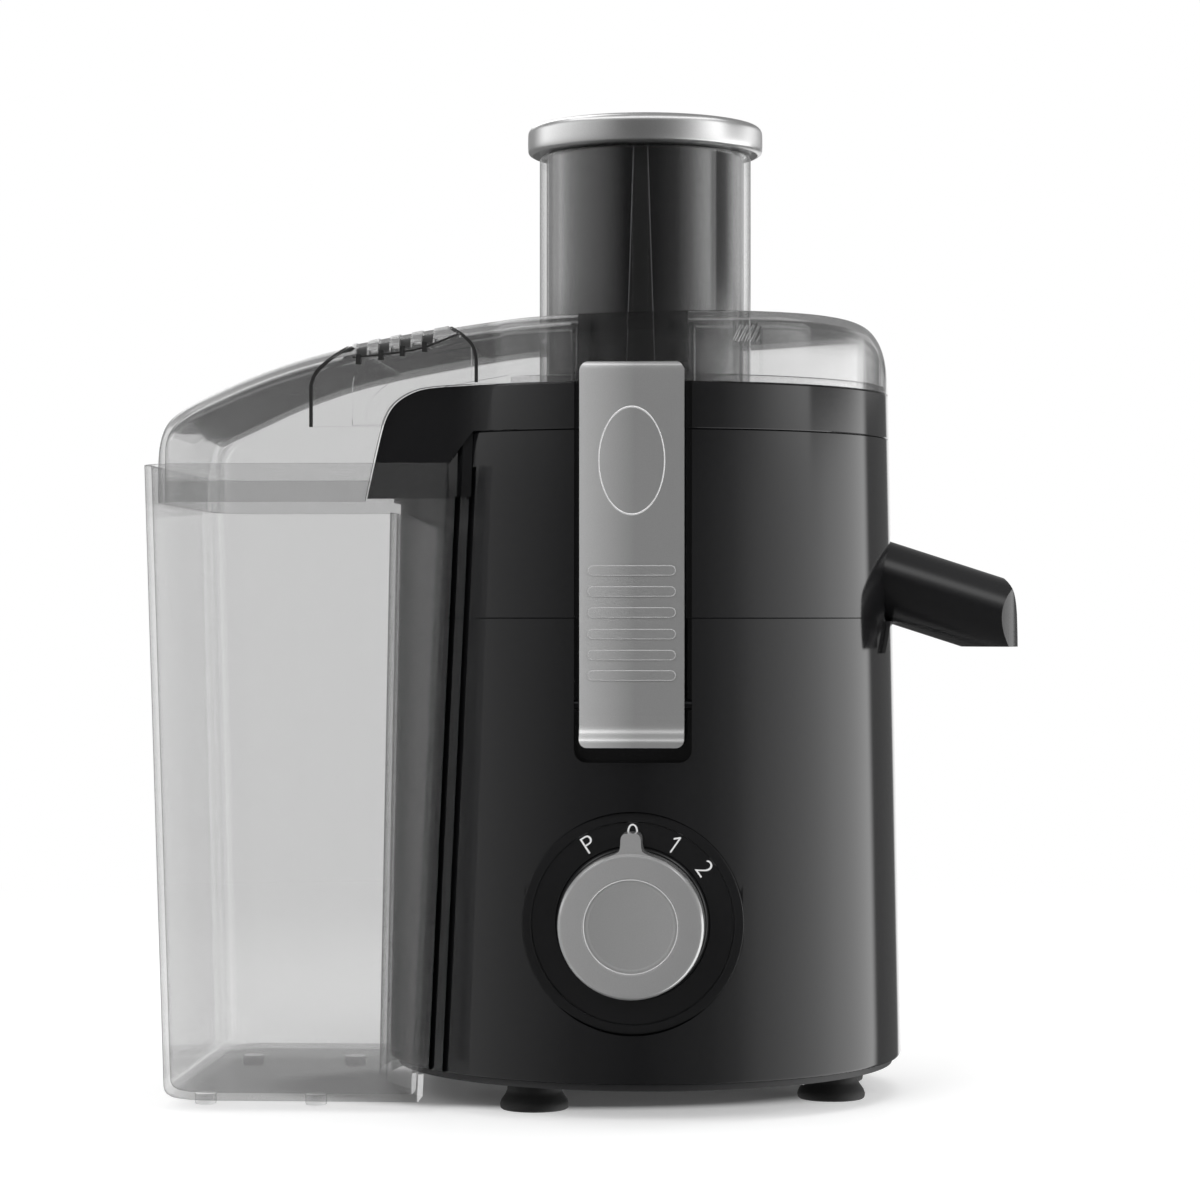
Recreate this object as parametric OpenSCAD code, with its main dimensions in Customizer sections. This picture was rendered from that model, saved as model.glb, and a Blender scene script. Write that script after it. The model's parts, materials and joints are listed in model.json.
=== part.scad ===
// Centrifugal juicer: a round motor base, a juice collector with a strainer
// basket, a smoky cover with a feed tube, a pusher, a side pulp bin, a pull-off
// spout and two snap latches. Everything is drawn about the drive axis with the
// table at z = 0, and at_origin() then moves it so that the origin lies on the
// table under the middle of the whole outline.

/* [Heights] */
// Underside of the base housing
base_z = 12; // [11:0.5:13]
// Joint between the base housing and the upper housing
seam_z = 157; // [156:0.5:158]
// Joint between the upper housing and the collector's band
band_z = 216; // [215.5:0.5:216.5]
// Top edge of the collector's band, where the cover sits
rim_z = 231; // [230.5:0.5:231.5]
// Top of the feed tube
tube_z = 311; // [308:0.5:314]
// Top of the pusher's cap
cap_z = 325; // [323:0.5:328]

/* [Body] */
// Radius of the body at its underside
foot_r = 85.2; // [85:0.1:85.5]
// Radius of the body at the collector's top edge
rim_r = 81; // [80.8:0.1:81.2]
// Thickness of the moulded shells
wall = 2.5; // [2.3:0.1:2.6]

/* [Cover] */
// Half width of the cover over the pulp bin
cover_half_w = 68; // [67.5:0.5:68]
// Thickness of the cover
cover_wall = 2.2; // [2:0.1:2.4]
// Outside radius of the feed tube
tube_r = 35.3; // [35.2:0.1:35.5]
// Inside radius of the feed tube
tube_bore_r = 33; // [32.9:0.1:33.1]
// Radius of the pusher
pusher_r = 32.3; // [32:0.1:32.5]
// Radius of the pusher's cap
cap_r = 39.2; // [38.5:0.1:40]

/* [Pulp bin] */
// Half depth of the bin at its rim
bin_half_w = 72; // [71.8:0.1:72.5]
// Height of the bin's rim
bin_rim_z = 206; // [205:0.5:207]
// Lowest edge of the bin's walls
bin_floor_z = 3.5; // [3:0.5:4]

/* [Latches] */
// Width of a latch
latch_w = 32.5; // [32:0.5:33]
// Lowest edge of a latch
latch_low_z = 116.8; // [116.5:0.1:117]
// Highest edge of a latch
latch_top_z = 236.8; // [236.5:0.1:237.2]
// Distance from the drive axis to a latch's outer face
latch_y = 87.5; // [87.3:0.1:87.6]

/* [Dial] */
// Height of the dial's centre
dial_z = 62; // [60:0.5:64]
// Radius of the dial's bezel
bezel_r = 34.7; // [34:0.1:35]
// Radius of the knob
knob_r = 22.7; // [22:0.1:23]

/* [Spout] */
// Height of the spout's axis where it leaves the collector
spout_z = 169; // [168.5:0.5:169.5]
// Outside radius of the spout
spout_r = 13; // [12.8:0.1:13]
// Downward slope of the spout
spout_slope = 18; // [17:0.5:18]

/* [Hidden] */
$fn = 96;
slip = 0.3;                    // gap between curved faces that move past each other
run = 0.05;                    // radial clearance of a running fit
tiny = 0.01;

origin_x = 17.1;               // drive axis to the middle of the outline
origin_y = 2.25;

// Side outline of the cover's top, from the bin end to the spout end
cover_top = [[-154.8, 194], [-154.8, 204], [-154.5, 210], [-153.6, 215.5],
    [-150.8, 219.8], [-145.8, 223], [-137.3, 227.2], [-125.7, 232.6], [-110.3, 238.3],
    [-94.9, 242.4], [-75.6, 246.2], [-52.7, 250.1], [-37, 252], [17.6, 253.5], [52, 254],
    [64.8, 253.6], [71.4, 252.6], [75.4, 250.8], [78.6, 247.4], [80.4, 242.5], [81, 235],
    [81, 231]];
cover_end_x = -154.8;
cover_corner = 18;
// Side outline of the collector's pulp shroud
shroud_side = [[-48, 231], [-66, 230.2], [-72, 228.2], [-76.4, 225.2],
    [-79, 221.4], [-80.6, 216.5], [-85.4, 195], [-59.6, 195], [-59.6, 206],
    [-51.4, 216], [-48, 216]];
shroud_half_w = 64;
shroud_wall = 2.5;

// Strainer, bowl and drive
bowl_r = 74;
bowl_wall = 2;
bowl_floor_z = 163;
chimney_r = 17;
grater_z = 190;
grater_r = 39.5;
basket_r = 69.5;
basket_top_z = 222;
shaft_r = 4;
coupling_r = 11.5;
coupling_lobes = 6;
lobe_r = 2;

// Motor
stator_r = 36;
stator_bore_r = 21.3;
stack_z = [72, 112];
upper_bracket_z = 125;
lower_bracket_z = 50;
bracket_t = 3;
bearing_r = 10;
bearing_h = 7;
post_r = 46;                   // radius of the circle of motor mounts
motor_bolt_r = 32.8;           // radius of the circle of the motor's long bolts
bolt_angles = [30, 150, 210, 330];

// Latch wells and pivots
well_half_w = 18.4;
well_low_z = 112;
base_well_y = 72;
upper_well_y = 77.5;
pivot_y = 78;
pivot_z = 130;
pin_r = 1.5;
pin_half = 21.2;
latch_t = 3;
hook_gap = 0.4;
ledge_z = 234.4;               // top of the ledge that the latch holds down
channel_y = 74.5;              // back wall of the cover's latch channel
cam_z = 120;
plunger_r = 2;

// Dial
dial_floor_y = 77;
bezel_y = 81.3;
knob_y = [82.4, 95];
spindle_r = 3;

// Feet, screws, vents
feet = [[-33, -52], [-33, 52], [62, -22], [62, 22]];
boss_angles = [45, 135, 225, 315];
deck_boss_r = 70;
plate_boss_r = 72;
screw_r = 1.5;
deck_t = 3;

// Bin outline and its lean
bin_left_top = -158.2;
bin_left_low = -152.5;
bin_right_top = -59;
bin_right_low = -69;
bin_wall = 2.2;
bin_gap = 1.3;                 // bin to body
// Side outline of the notch in the bin's hugging wall, which passes the shroud
bin_notch = [[-120, 193.3], [-90, 193.3], [-74, 190], [-56, 182.5], [-30, 182.5],
    [-30, 260], [-120, 260]];
bin_half_low = 69;

// Leads inside the base: hand-chosen points
mains_lead = [[0, 72, 30], [0, 66, 30], [8, 62, 24], [34, 54, 20], [56, 30, 20],
    [62, 0, 20], [54, -34, 24], [34, -50, 40], [20, -56, 56], [13.2, -56, 56]];
motor_lead = [[-13.2, -60, 66], [-19, -60, 66], [-40, -44, 66], [-48, -22, 62],
    [-44, 0, 60], [-36.2, 0, 60]];
board_lead = [[24, 59.8, 66], [24, 55, 66], [34, 44, 64], [46, 22, 61],
    [44, 0, 60], [36.2, 0, 60]];
lead_r = 1.6;
lead_sides = 8;

function body_r(z) = foot_r + (rim_r - foot_r) * (z - base_z) / (rim_z - base_z);

module at_origin() translate([origin_x, origin_y, 0]) children();

// A ring about the drive axis, from its inside to its outside radius
module ring(r_in, r_out, z0, z1) {
    rotate_extrude() polygon([[r_in, z0], [r_out, z0], [r_out, z1], [r_in, z1]]);
}

// The body's tapered outside between two heights, grown or shrunk
module body_solid(z0, z1, grow = 0) {
    rotate_extrude() polygon([[0, z0], [body_r(z0) + grow, z0],
        [body_r(z1) + grow, z1], [0, z1]]);
}

module body_shell(z0, z1) {
    difference() {
        body_solid(z0, z1);
        body_solid(z0 - 1, z1 + 1, -wall);
    }
}

// A shape drawn in X and Z, standing between two Y values
module side_slab(y0, y1) {
    translate([0, y1, 0]) rotate([90, 0, 0]) linear_extrude(y1 - y0) children();
}

// A cylinder along Y from y0 to y1
module rod_y(r, y0, y1, x = 0, z = 0) {
    translate([x, y0, z]) rotate([-90, 0, 0]) cylinder(r = r, h = y1 - y0);
}

// A cylinder along X, centred on x = 0
module rod_x(r, half, y, z) {
    translate([-half, y, z]) rotate([0, 90, 0]) cylinder(r = r, h = 2 * half);
}

module block(x, y, z) {
    translate([x[0], y[0], z[0]]) cube([x[1] - x[0], y[1] - y[0], z[1] - z[0]]);
}

// Both sides: the front as drawn and the rear as its mirror image
module both_sides() {
    children();
    mirror([0, 1, 0]) children();
}

// Space of a latch well on the front side, with round lower corners
module well_cut(floor_y, z0, z1) {
    corner = 4;
    side_slab(-100, -floor_y) {
        translate([-well_half_w, z0 + corner])
            square([2 * well_half_w, z1 - z0 - corner]);
        translate([corner - well_half_w, z0])
            square([2 * (well_half_w - corner), corner + 1]);
        for (side = [-1, 1])
            translate([side * (well_half_w - corner), z0 + corner]) circle(corner);
    }
}

// Plastic behind and beside a latch well, kept inside the body
module well_back(floor_y, z0, z1) {
    intersection() {
        body_solid(z0, z1);
        block([-well_half_w - 3.5, well_half_w + 3.5], [-100, wall - floor_y],
            [z0, z1]);
    }
}

// Opening that the spout passes through
module spout_cut() {
    half = spout_r + 0.8;
    low = spout_z - 0.5;
    high = spout_z + 2;
    translate([60, 0, low]) rotate([0, 90, 0]) cylinder(r = half, h = 40);
    translate([60, 0, high]) rotate([0, 90, 0]) cylinder(r = half, h = 40);
    block([60, 100], [-half, half], [low, high]);
}

// Shallow arch around the spout on the body's outside
module arch_cut() {
    depth = 1.6;
    difference() {
        intersection() {
            translate([60, 0, 0]) rotate([90, 0, 90]) linear_extrude(40) {
                translate([0, 153]) circle(30);
                translate([-30, 145.5]) square([60, 8]);
            }
            body_solid(145.5, 190, 1);
        }
        body_solid(140, 195, -depth);
    }
}

// Grooves beside the bin, leaning with the bin's edge
module groove_cuts(z0, z1) {
    depth = 1.4;
    lean = atan((bin_right_top - bin_right_low) / (bin_rim_z - bin_floor_z));
    intersection() {
        difference() {
            body_solid(z0 - 1, z1, 1);
            body_solid(z0 - 2, z1 + 1, -depth);
        }
        for (x = [-56.5, -51.5]) translate([x, 0, bin_rim_z]) rotate([0, lean, 0])
            translate([-1, -90, -bin_rim_z - 10]) cube([2, 180, bin_rim_z + 20]);
    }
}

module base_housing() at_origin() color("#17171a") {
    difference() {
        union() {
            body_shell(base_z, seam_z);
            both_sides() well_back(base_well_y, well_low_z - 4, seam_z);
            intersection() {
                body_solid(base_z, seam_z);
                rod_y(bezel_r + 3, -90, wall - dial_floor_y, 0, dial_z);
            }
            for (a = boss_angles) rotate(a) {
                translate([deck_boss_r, 0, 110]) cylinder(r = 4.5, h = seam_z - 110);
                translate([deck_boss_r, -1.5, 110])
                    cube([body_r(110) - wall - deck_boss_r + 0.5, 3, seam_z - 110]);
                translate([plate_boss_r, 0, base_z]) cylinder(r = 4.5, h = 20);
                translate([plate_boss_r, -1.5, base_z])
                    cube([body_r(base_z) - wall - plate_boss_r + 0.8, 3, 20]);
            }
            intersection() {
                body_solid(base_z, seam_z);
                for (x = [-22, 22]) for (z = [42, 74]) rod_y(3, 61.6, 90, x, z);
            }
        }
        both_sides() {
            well_cut(base_well_y, well_low_z, seam_z + 5);
            rod_x(pin_r, pin_half, -pivot_y, pivot_z);
        }
        rod_y(plunger_r + run, -base_well_y - 1, -60, 0, cam_z);
        rod_y(bezel_r + 0.1, -100, -dial_floor_y, 0, dial_z);
        rod_y(spindle_r + 1, -80, -60, 0, dial_z);
        rod_y(6, 60, 100, 0, 30);
        spout_cut();
        arch_cut();
        groove_cuts(base_z, seam_z);
        for (a = boss_angles) rotate(a) {
            translate([deck_boss_r, 0, seam_z - 14]) cylinder(r = screw_r, h = 20);
            translate([plate_boss_r, 0, base_z - 1]) cylinder(r = screw_r, h = 15);
        }
    }
}

module upper_housing() at_origin() color("#17171a") {
    difference() {
        union() {
            body_shell(seam_z, band_z);
            body_solid(seam_z, seam_z + deck_t, -wall + 0.5);
            both_sides() well_back(upper_well_y, seam_z, band_z);
            for (a = boss_angles) rotate(a)
                translate([post_r, 0, upper_bracket_z + bracket_t + 4])
                    cylinder(r = 5, h = seam_z - upper_bracket_z - bracket_t - 3);
        }
        both_sides() well_cut(upper_well_y, seam_z - 8, band_z + 5);
        translate([0, 0, seam_z - 1]) cylinder(r = 8, h = deck_t + 2);
        spout_cut();
        arch_cut();
        groove_cuts(seam_z, bin_rim_z - 1);
        for (a = boss_angles) rotate(a) {
            translate([deck_boss_r, 0, seam_z - 1]) cylinder(r = screw_r + 0.3, h = 9);
            translate([post_r, 0, upper_bracket_z])
                cylinder(r = screw_r, h = seam_z - upper_bracket_z - 4);
        }
    }
}

// Slots that let the motor's cooling air in
module vents() {
    for (i = [-5 : 5]) {
        half = 26 - abs(i) * 2;
        translate([i * 7, 0, base_z - 4]) {
            translate([-1.5, -half, 0]) cube([3, 2 * half, 6]);
            for (side = [-1, 1]) translate([0, side * half, 0]) cylinder(r = 1.5, h = 6);
        }
    }
}

module bottom_plate() at_origin() color("#202022") {
    difference() {
        translate([0, 0, base_z - 2.2]) cylinder(r = body_r(base_z) - 2.8, h = 2.2);
        vents();
        for (f = feet) translate([f[0], f[1], base_z - 4]) cylinder(r = 3.5, h = 6);
        for (a = boss_angles) rotate(a)
            translate([plate_boss_r, 0, base_z - 4]) cylinder(r = screw_r + 0.3, h = 6);
    }
}

module suction_feet() at_origin() color("#0d0d0d") {
    under = base_z - 2.2;
    for (f = feet) translate([f[0], f[1], 0]) rotate_extrude() polygon([[0, 3.2],
        [5, 2.4], [8.4, 0], [10.4, 0], [11.1, 1.8], [8.7, 5.6], [8.7, under],
        [3.5, under], [3.5, base_z], [5, base_z], [4, base_z + 2.5],
        [0, base_z + 2.5]]);
}

module bottom_screws() at_origin() color("#9a9a9a") {
    head = 1.4;
    for (a = boss_angles) rotate(a) translate([plate_boss_r, 0, base_z - 2.2 - head]) {
        difference() {
            cylinder(r = 3, h = head);
            for (turn = [0, 90]) rotate(turn)
                translate([-2, -0.4, -tiny]) cube([4, 0.8, 0.8]);
        }
        cylinder(r = screw_r, h = 12);
    }
}

module deck_screws() at_origin() color("#9a9a9a") {
    for (a = boss_angles) rotate(a) translate([deck_boss_r, 0, seam_z - 10]) {
        cylinder(r = screw_r, h = 10 + deck_t + 1.2);
        translate([0, 0, 10 + deck_t]) cylinder(r = 3, h = 1.4);
    }
}

module cord_gland() at_origin() color("#101010") {
    difference() {
        union() {
            rod_y(6, 72, 88, 0, 30);
            rod_y(8, 85.5, 88, 0, 30);
            rod_y(8, 74, 80, 0, 30);
        }
        rod_y(3.5, 70, 92, 0, 30);
    }
}

module dial_bezel() at_origin() color("#0c0c0d") {
    difference() {
        union() {
            rod_y(bezel_r, -bezel_y, -dial_floor_y, 0, dial_z);
            difference() {
                rod_y(bezel_r, -bezel_y - 0.9, -bezel_y + 0.5, 0, dial_z);
                rod_y(31.5, -bezel_y - 1, -bezel_y + 1, 0, dial_z);
            }
        }
        rod_y(spindle_r + 0.6, -90, -70, 0, dial_z);
    }
}

module knob() at_origin() color("#9b9b9b") {
    difference() {
        union() {
            rod_y(knob_r - 1, -knob_y[1], -knob_y[0], 0, dial_z);
            rod_y(knob_r, -knob_y[1] + 1, -knob_y[0], 0, dial_z);
            block([-2.9, 2.9], [-knob_y[1] + 1, -knob_y[0]],
                [dial_z + knob_r - 3, dial_z + 28.3]);
        }
        rod_y(14.6, -knob_y[1] - 1, -knob_y[1] + 1.4, 0, dial_z);
        difference() {
            rod_y(knob_r - 2.6, -knob_y[1] + 4, -knob_y[0] + 1, 0, dial_z);
            rod_y(6, -knob_y[1] + 3, -knob_y[0] + 2, 0, dial_z);
        }
        rod_y(spindle_r, -knob_y[1] + 4, -knob_y[0] + 1, 0, dial_z);
    }
}

module knob_insert() at_origin() color("#8d8d8d") {
    rod_y(14.5, -knob_y[1] + 0.4, -knob_y[1] + 1.4, 0, dial_z);
}

module knob_spindle() at_origin() color("#cfcfcf") {
    rod_y(spindle_r, -knob_y[1] + 4, -56, 0, dial_z);
}

module rotary_switch() at_origin() color("#2a2a2c") {
    difference() {
        union() {
            block([-13, 13], [-71, -53], [dial_z - 13, dial_z + 13]);
            rod_y(6, -dial_floor_y + wall, -70, 0, dial_z);
        }
        rod_y(spindle_r + run, -80, -55, 0, dial_z);
    }
}

module switch_terminals() at_origin() color("#c9a24a") {
    for (z = [dial_z - 8 : 5.33 : dial_z + 9])
        block([-2.4, 2.4], [-53, -46], [z - 0.4, z + 0.4]);
}

module control_board() at_origin() color("#1f6b3a") {
    block([-26, 26], [60, 61.6], [38, 78]);
}

module board_capacitors() at_origin() color("#3b5fa8") {
    for (x = [-14, 2]) rod_y(5, 46, 60, x, 62);
    block([8, 22], [50, 60], [44, 54]);
    block([-20, -10], [54, 60], [42, 50]);
}

// A tube along the given points: a ring of corners at each point, square to the
// route there
function unit(v) = v / norm(v);
function route_dir(p, i) =
    unit(p[min(i + 1, len(p) - 1)] - p[max(i - 1, 0)]);
function side_dir(d) = unit(cross(d, abs(d[2]) < 0.9 ? [0, 0, 1] : [1, 0, 0]));

module lead(p) {
    rings = [for (i = [0 : len(p) - 1])
        let (d = route_dir(p, i), u = side_dir(d), v = cross(d, u))
        for (k = [0 : lead_sides - 1])
            let (a = 360 * k / lead_sides)
            p[i] + lead_r * (u * cos(a) + v * sin(a))];
    last = (len(p) - 1) * lead_sides;
    polyhedron(rings, concat(
        [[for (k = [0 : lead_sides - 1]) k]],
        [for (i = [0 : len(p) - 2]) for (k = [0 : lead_sides - 1])
            let (a = i * lead_sides, b = (k + 1) % lead_sides)
            [a + k, a + lead_sides + k, a + lead_sides + b, a + b]],
        [[for (k = [lead_sides - 1 : -1 : 0]) last + k]]));
}

module internal_leads() at_origin() color("#b33a2e") {
    lead(mains_lead);
    lead(motor_lead);
    lead(board_lead);
}

module interlock_switch() at_origin() color("#28282a") {
    difference() {
        block([-10, 10], [-base_well_y + wall, -58], [cam_z - 6, cam_z + 6]);
        rod_y(plunger_r + 0.4, -base_well_y, -60, 0, cam_z);
    }
}

module interlock_plunger() at_origin() color("#d8d8d8") {
    rod_y(plunger_r, -pivot_y - 0.7, -67.4, 0, cam_z);
}

module stator_core() at_origin() color("#6d7075") {
    difference() {
        ring(stator_bore_r, stator_r, stack_z[0], stack_z[1]);
        for (a = bolt_angles) rotate(a)
            translate([motor_bolt_r, 0, stack_z[0] - 1])
                cylinder(r = 2, h = stack_z[1] - stack_z[0] + 2);
    }
}

module field_windings() at_origin() color("#b4642a") {
    for (z = [stack_z[0] - 8, stack_z[1]])
        rotate_extrude() translate([23, z]) polygon([[0, 0], [7, 0], [7, 8], [0, 8]]);
}

// A motor bracket with a cup that holds the bearing
module motor_bracket(z, cup_z0, cup_z1) {
    difference() {
        union() {
            ring(0, stator_r, z, z + bracket_t);
            ring(0, bearing_r + 2.5, cup_z0, cup_z1);
        }
        ring(0, bearing_r, z + bracket_t / 2 - bearing_h / 2,
            z + bracket_t / 2 + bearing_h / 2);
        ring(0, shaft_r + 1.5, z - 20, z + 20);
        for (a = bolt_angles) rotate(a)
            translate([motor_bolt_r, 0, z - 1]) cylinder(r = 2, h = bracket_t + 2);
        for (a = boss_angles) rotate(a)
            translate([20, 0, z - 1]) cylinder(r = 5, h = bracket_t + 2);
    }
}

module upper_bracket() at_origin() color("#a9adb2") {
    motor_bracket(upper_bracket_z, upper_bracket_z - 3.5, upper_bracket_z + 6.5);
    for (a = boss_angles) rotate(a) difference() {
        block([30, post_r + 5], [-5, 5], [upper_bracket_z, upper_bracket_z + bracket_t]);
        translate([post_r, 0, upper_bracket_z - 1]) cylinder(r = 1.8, h = 6);
        ring(0, 34, upper_bracket_z - 1, upper_bracket_z + 5);
    }
}

module lower_bracket() at_origin() color("#a9adb2") {
    motor_bracket(lower_bracket_z, lower_bracket_z - 3.5, lower_bracket_z + 6.5);
}

module motor_bolts() at_origin() color("#c4c4c4") {
    top = upper_bracket_z + bracket_t;
    for (a = bolt_angles) rotate(a) translate([motor_bolt_r, 0, 0]) {
        translate([0, 0, lower_bracket_z]) cylinder(r = 2, h = top - lower_bracket_z);
        translate([0, 0, top]) cylinder(r = 3.2, h = 2.4, $fn = 6);
        translate([0, 0, lower_bracket_z - 2.4]) cylinder(r = 3.2, h = 2.4, $fn = 6);
    }
}

module motor_mounts() at_origin() color("#141414") {
    for (a = boss_angles) rotate(a)
        translate([post_r, 0, upper_bracket_z + bracket_t]) difference() {
            cylinder(r = 5, h = 4);
            translate([0, 0, -1]) cylinder(r = 1.8, h = 6);
        }
}

module mount_screws() at_origin() color("#9a9a9a") {
    for (a = boss_angles) rotate(a) translate([post_r, 0, upper_bracket_z - 2]) {
        cylinder(r = 3, h = 2);
        cylinder(r = screw_r, h = 22);
    }
}

module bearing(z) {
    mid = z + bracket_t / 2;
    ring(shaft_r, bearing_r, mid - bearing_h / 2, mid + bearing_h / 2);
}

module upper_bearing() at_origin() color("#c8cacc") {
    difference() {
        bearing(upper_bracket_z);
        ring(0, shaft_r + run, 0, 200);
    }
}

module lower_bearing() at_origin() color("#c8cacc") {
    difference() {
        bearing(lower_bracket_z);
        ring(0, shaft_r + run, 0, 200);
    }
}

module brush_holders() at_origin() color("#3a2f28") {
    for (side = [-1, 1]) difference() {
        block(side < 0 ? [-36, -13] : [13, 36], [-4.5, 4.5], [56.6, 63.4]);
        block([-34, 34], [-2.5, 2.5], [57.5, 62.5]);
    }
}

module carbon_brushes() at_origin() color("#1b1b1d") {
    for (side = [-1, 1])
        block(side < 0 ? [-24, -11.1] : [11.1, 24], [-2.5, 2.5], [57.5, 62.5]);
}

module motor_shaft() at_origin() color("#d4d6d8") {
    translate([0, 0, 33]) cylinder(r = shaft_r, h = 143);
}

module armature_core() at_origin() color("#7b7e83") {
    difference() {
        ring(shaft_r, 20.6, stack_z[0], stack_z[1]);
        for (i = [0 : 11]) rotate(30 * i)
            translate([18.4, -0.9, stack_z[0] - 1]) cube([4, 1.8, 42]);
    }
}

module armature_windings() at_origin() color("#b4642a") {
    ring(shaft_r + 1, 17, stack_z[0] - 6.5, stack_z[0]);
    ring(shaft_r + 1, 17, stack_z[1], stack_z[1] + 8);
}

module commutator() at_origin() color("#c07a45") {
    difference() {
        ring(shaft_r, 11, 57, 65);
        for (i = [0 : 11]) rotate(30 * i) translate([9.6, -0.3, 56]) cube([3, 0.6, 10]);
    }
}

module cooling_fan() at_origin() color("#2b2b2e") {
    ring(shaft_r, 9, 34, 44);
    ring(8, 34, 34, 35.4);
    for (i = [0 : 9]) rotate(36 * i) translate([8, -0.8, 35]) cube([25.5, 1.6, 8]);
}

module shaft_seal() at_origin() color("#8a2c22") {
    ring(shaft_r + 0.08, 8, seam_z, seam_z + deck_t);
    ring(shaft_r + 0.08, 9.5, seam_z + deck_t, seam_z + deck_t + 0.8);
}

// The lobed section of the drive coupling, with a clearance for its socket
module lobed(grow, z0, z1) {
    translate([0, 0, z0]) cylinder(r = coupling_r + grow, h = z1 - z0);
    for (i = [0 : coupling_lobes - 1]) rotate(i * 360 / coupling_lobes)
        translate([coupling_r - 0.4, 0, z0]) cylinder(r = lobe_r + grow, h = z1 - z0);
}

module drive_coupling() at_origin() color("#e6e1d3") {
    difference() {
        lobed(0, 162, 182);
        translate([0, 0, 161]) cylinder(r = shaft_r, h = 15);
    }
}

module basket_hub() at_origin() color("#d9d9d4") {
    difference() {
        union() {
            ring(0, 14.7, 168, 186);
            ring(18.4, 20.4, 170, 186);
            ring(0, 42, 185, grater_z);
        }
        lobed(0.1, 160, 182.2);
    }
}

module grater_disc() at_origin() color("#c9ccd0") {
    difference() {
        ring(0, grater_r, grater_z, grater_z + 0.9);
        for (i = [0 : 2]) rotate(120 * i)
            translate([14, 0, grater_z - 1]) cylinder(r = 2, h = 3);
    }
    for (row = [0 : 3]) for (i = [0 : 8]) rotate(40 * i + 13 * row)
        translate([19 + 5.4 * row, -0.6, grater_z + 0.5]) rotate([0, -25, 0])
            cube([0.8, 2.4, 2.2]);
}

module grater_rivets() at_origin() color("#dfe1e3") {
    for (i = [0 : 2]) rotate(120 * i) translate([14, 0, grater_z]) {
        cylinder(r = 2, h = 1);
        translate([0, 0, 0.9]) cylinder(r = 3, h = 0.8);
    }
}

module strainer_cone() at_origin() color("#d5d8db") {
    rotate_extrude() polygon([[grater_r + 0.3, grater_z], [42, grater_z],
        [68, 218], [68, basket_top_z - 1], [67.2, basket_top_z - 1],
        [67.2, 218.4], [grater_r + 0.3, grater_z + 1]]);
}

module basket_rim() at_origin() color("#dcdcd8") {
    rotate_extrude() polygon([[68, 216.5], [basket_r, 216.5], [basket_r, basket_top_z],
        [66.5, basket_top_z], [66.5, basket_top_z - 1], [68, basket_top_z - 1]]);
}

// The shroud's cheek on the front side, flush with the band
module shroud_cheek() {
    difference() {
        side_slab(-shroud_half_w, shroud_wall - shroud_half_w) polygon(shroud_side);
        body_solid(150, band_z, slip);
    }
}

// The curtain that follows the body down into the bin, and the floor above it
module shroud_curtain() {
    intersection() {
        difference() {
            body_solid(195.5, band_z + 2.5, slip + 2);
            body_solid(150, band_z, slip);
            translate([0, 0, 150]) cylinder(r = bowl_r - 1, h = 90);
        }
        block([-120, -30], [1 - shroud_half_w, shroud_half_w - 1], [195.5, band_z + 2.5]);
    }
}

module juice_collector() at_origin() color("#151517") {
    inner = bowl_r - bowl_wall;
    difference() {
        union() {
            ring(inner, bowl_r, bowl_floor_z, band_z + 3);
            ring(chimney_r - 2, bowl_r, bowl_floor_z, bowl_floor_z + 2.2);
            ring(chimney_r - 2, chimney_r, bowl_floor_z, 181);
            difference() {
                body_shell(band_z, rim_z);
                block([-120, -30], [wall - shroud_half_w, shroud_half_w - wall],
                    [band_z - 1, rim_z + 1]);
            }
            difference() {
                body_solid(band_z, band_z + 3, -0.4);
                translate([0, 0, band_z - 1]) cylinder(r = bowl_r - 0.5, h = 5);
            }
            both_sides() shroud_cheek();
            shroud_curtain();
            translate([bowl_r - 3, 0, spout_z]) rotate([0, 90, 0])
                cylinder(r = 9.7, h = 86 - bowl_r);
        }
        translate([bowl_r - 8, 0, spout_z]) rotate([0, 90, 0]) cylinder(r = 8, h = 30);
        both_sides() well_cut(upper_well_y, band_z - 8, rim_z + 5);
    }
    // the collector's own wall behind each latch
    both_sides() intersection() {
        difference() {
            body_solid(band_z, rim_z);
            translate([0, 0, 200]) cylinder(r = bowl_r - 0.5, h = 60);
        }
        block([-well_half_w - 3, well_half_w + 3], [-upper_well_y, -bowl_r + 4],
            [band_z, rim_z]);
    }
}

// The spout's sloping cylinder, cut off square to the table at its nose
module spout_core(r, x0, x1) {
    intersection() {
        translate([81.3, 0, spout_z]) rotate([0, 90 + spout_slope, 0])
            translate([0, 0, -30]) cylinder(r = r, h = 90);
        block([x0, x1], [-20, 20], [130, 200]);
    }
}

module juice_spout() at_origin() color("#141416") {
    mouth_z = 147.5;
    mouth_x = 113.9;
    nose_x = 124;
    difference() {
        spout_core(spout_r, bowl_r + 1.4, nose_x);
        spout_core(spout_r - 2.2, 87, nose_x - 2.2);
        translate([bowl_r, 0, spout_z]) rotate([0, 90, 0])
            cylinder(r = 9.7 + slip, h = 14);
        block([60, 140], [-30, 30], [120, mouth_z]);
        translate([mouth_x, 0, 140]) cylinder(r = 7.9, h = 18);
    }
}

// The cover's plan, shrunk by the given amount
module cover_plan(inset) {
    circle(rim_r - inset);
    difference() {
        union() {
            translate([cover_end_x + inset, cover_corner - cover_half_w])
                square([-cover_end_x - inset, 2 * (cover_half_w - cover_corner)]);
            translate([cover_end_x + cover_corner, inset - cover_half_w])
                square([-cover_end_x - cover_corner, 2 * (cover_half_w - inset)]);
            for (side = [-1, 1])
                translate([cover_end_x + cover_corner, side * (cover_half_w - cover_corner)])
                    circle(cover_corner - inset);
        }
        translate([0, -100]) square([10, 200]);
    }
}

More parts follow.
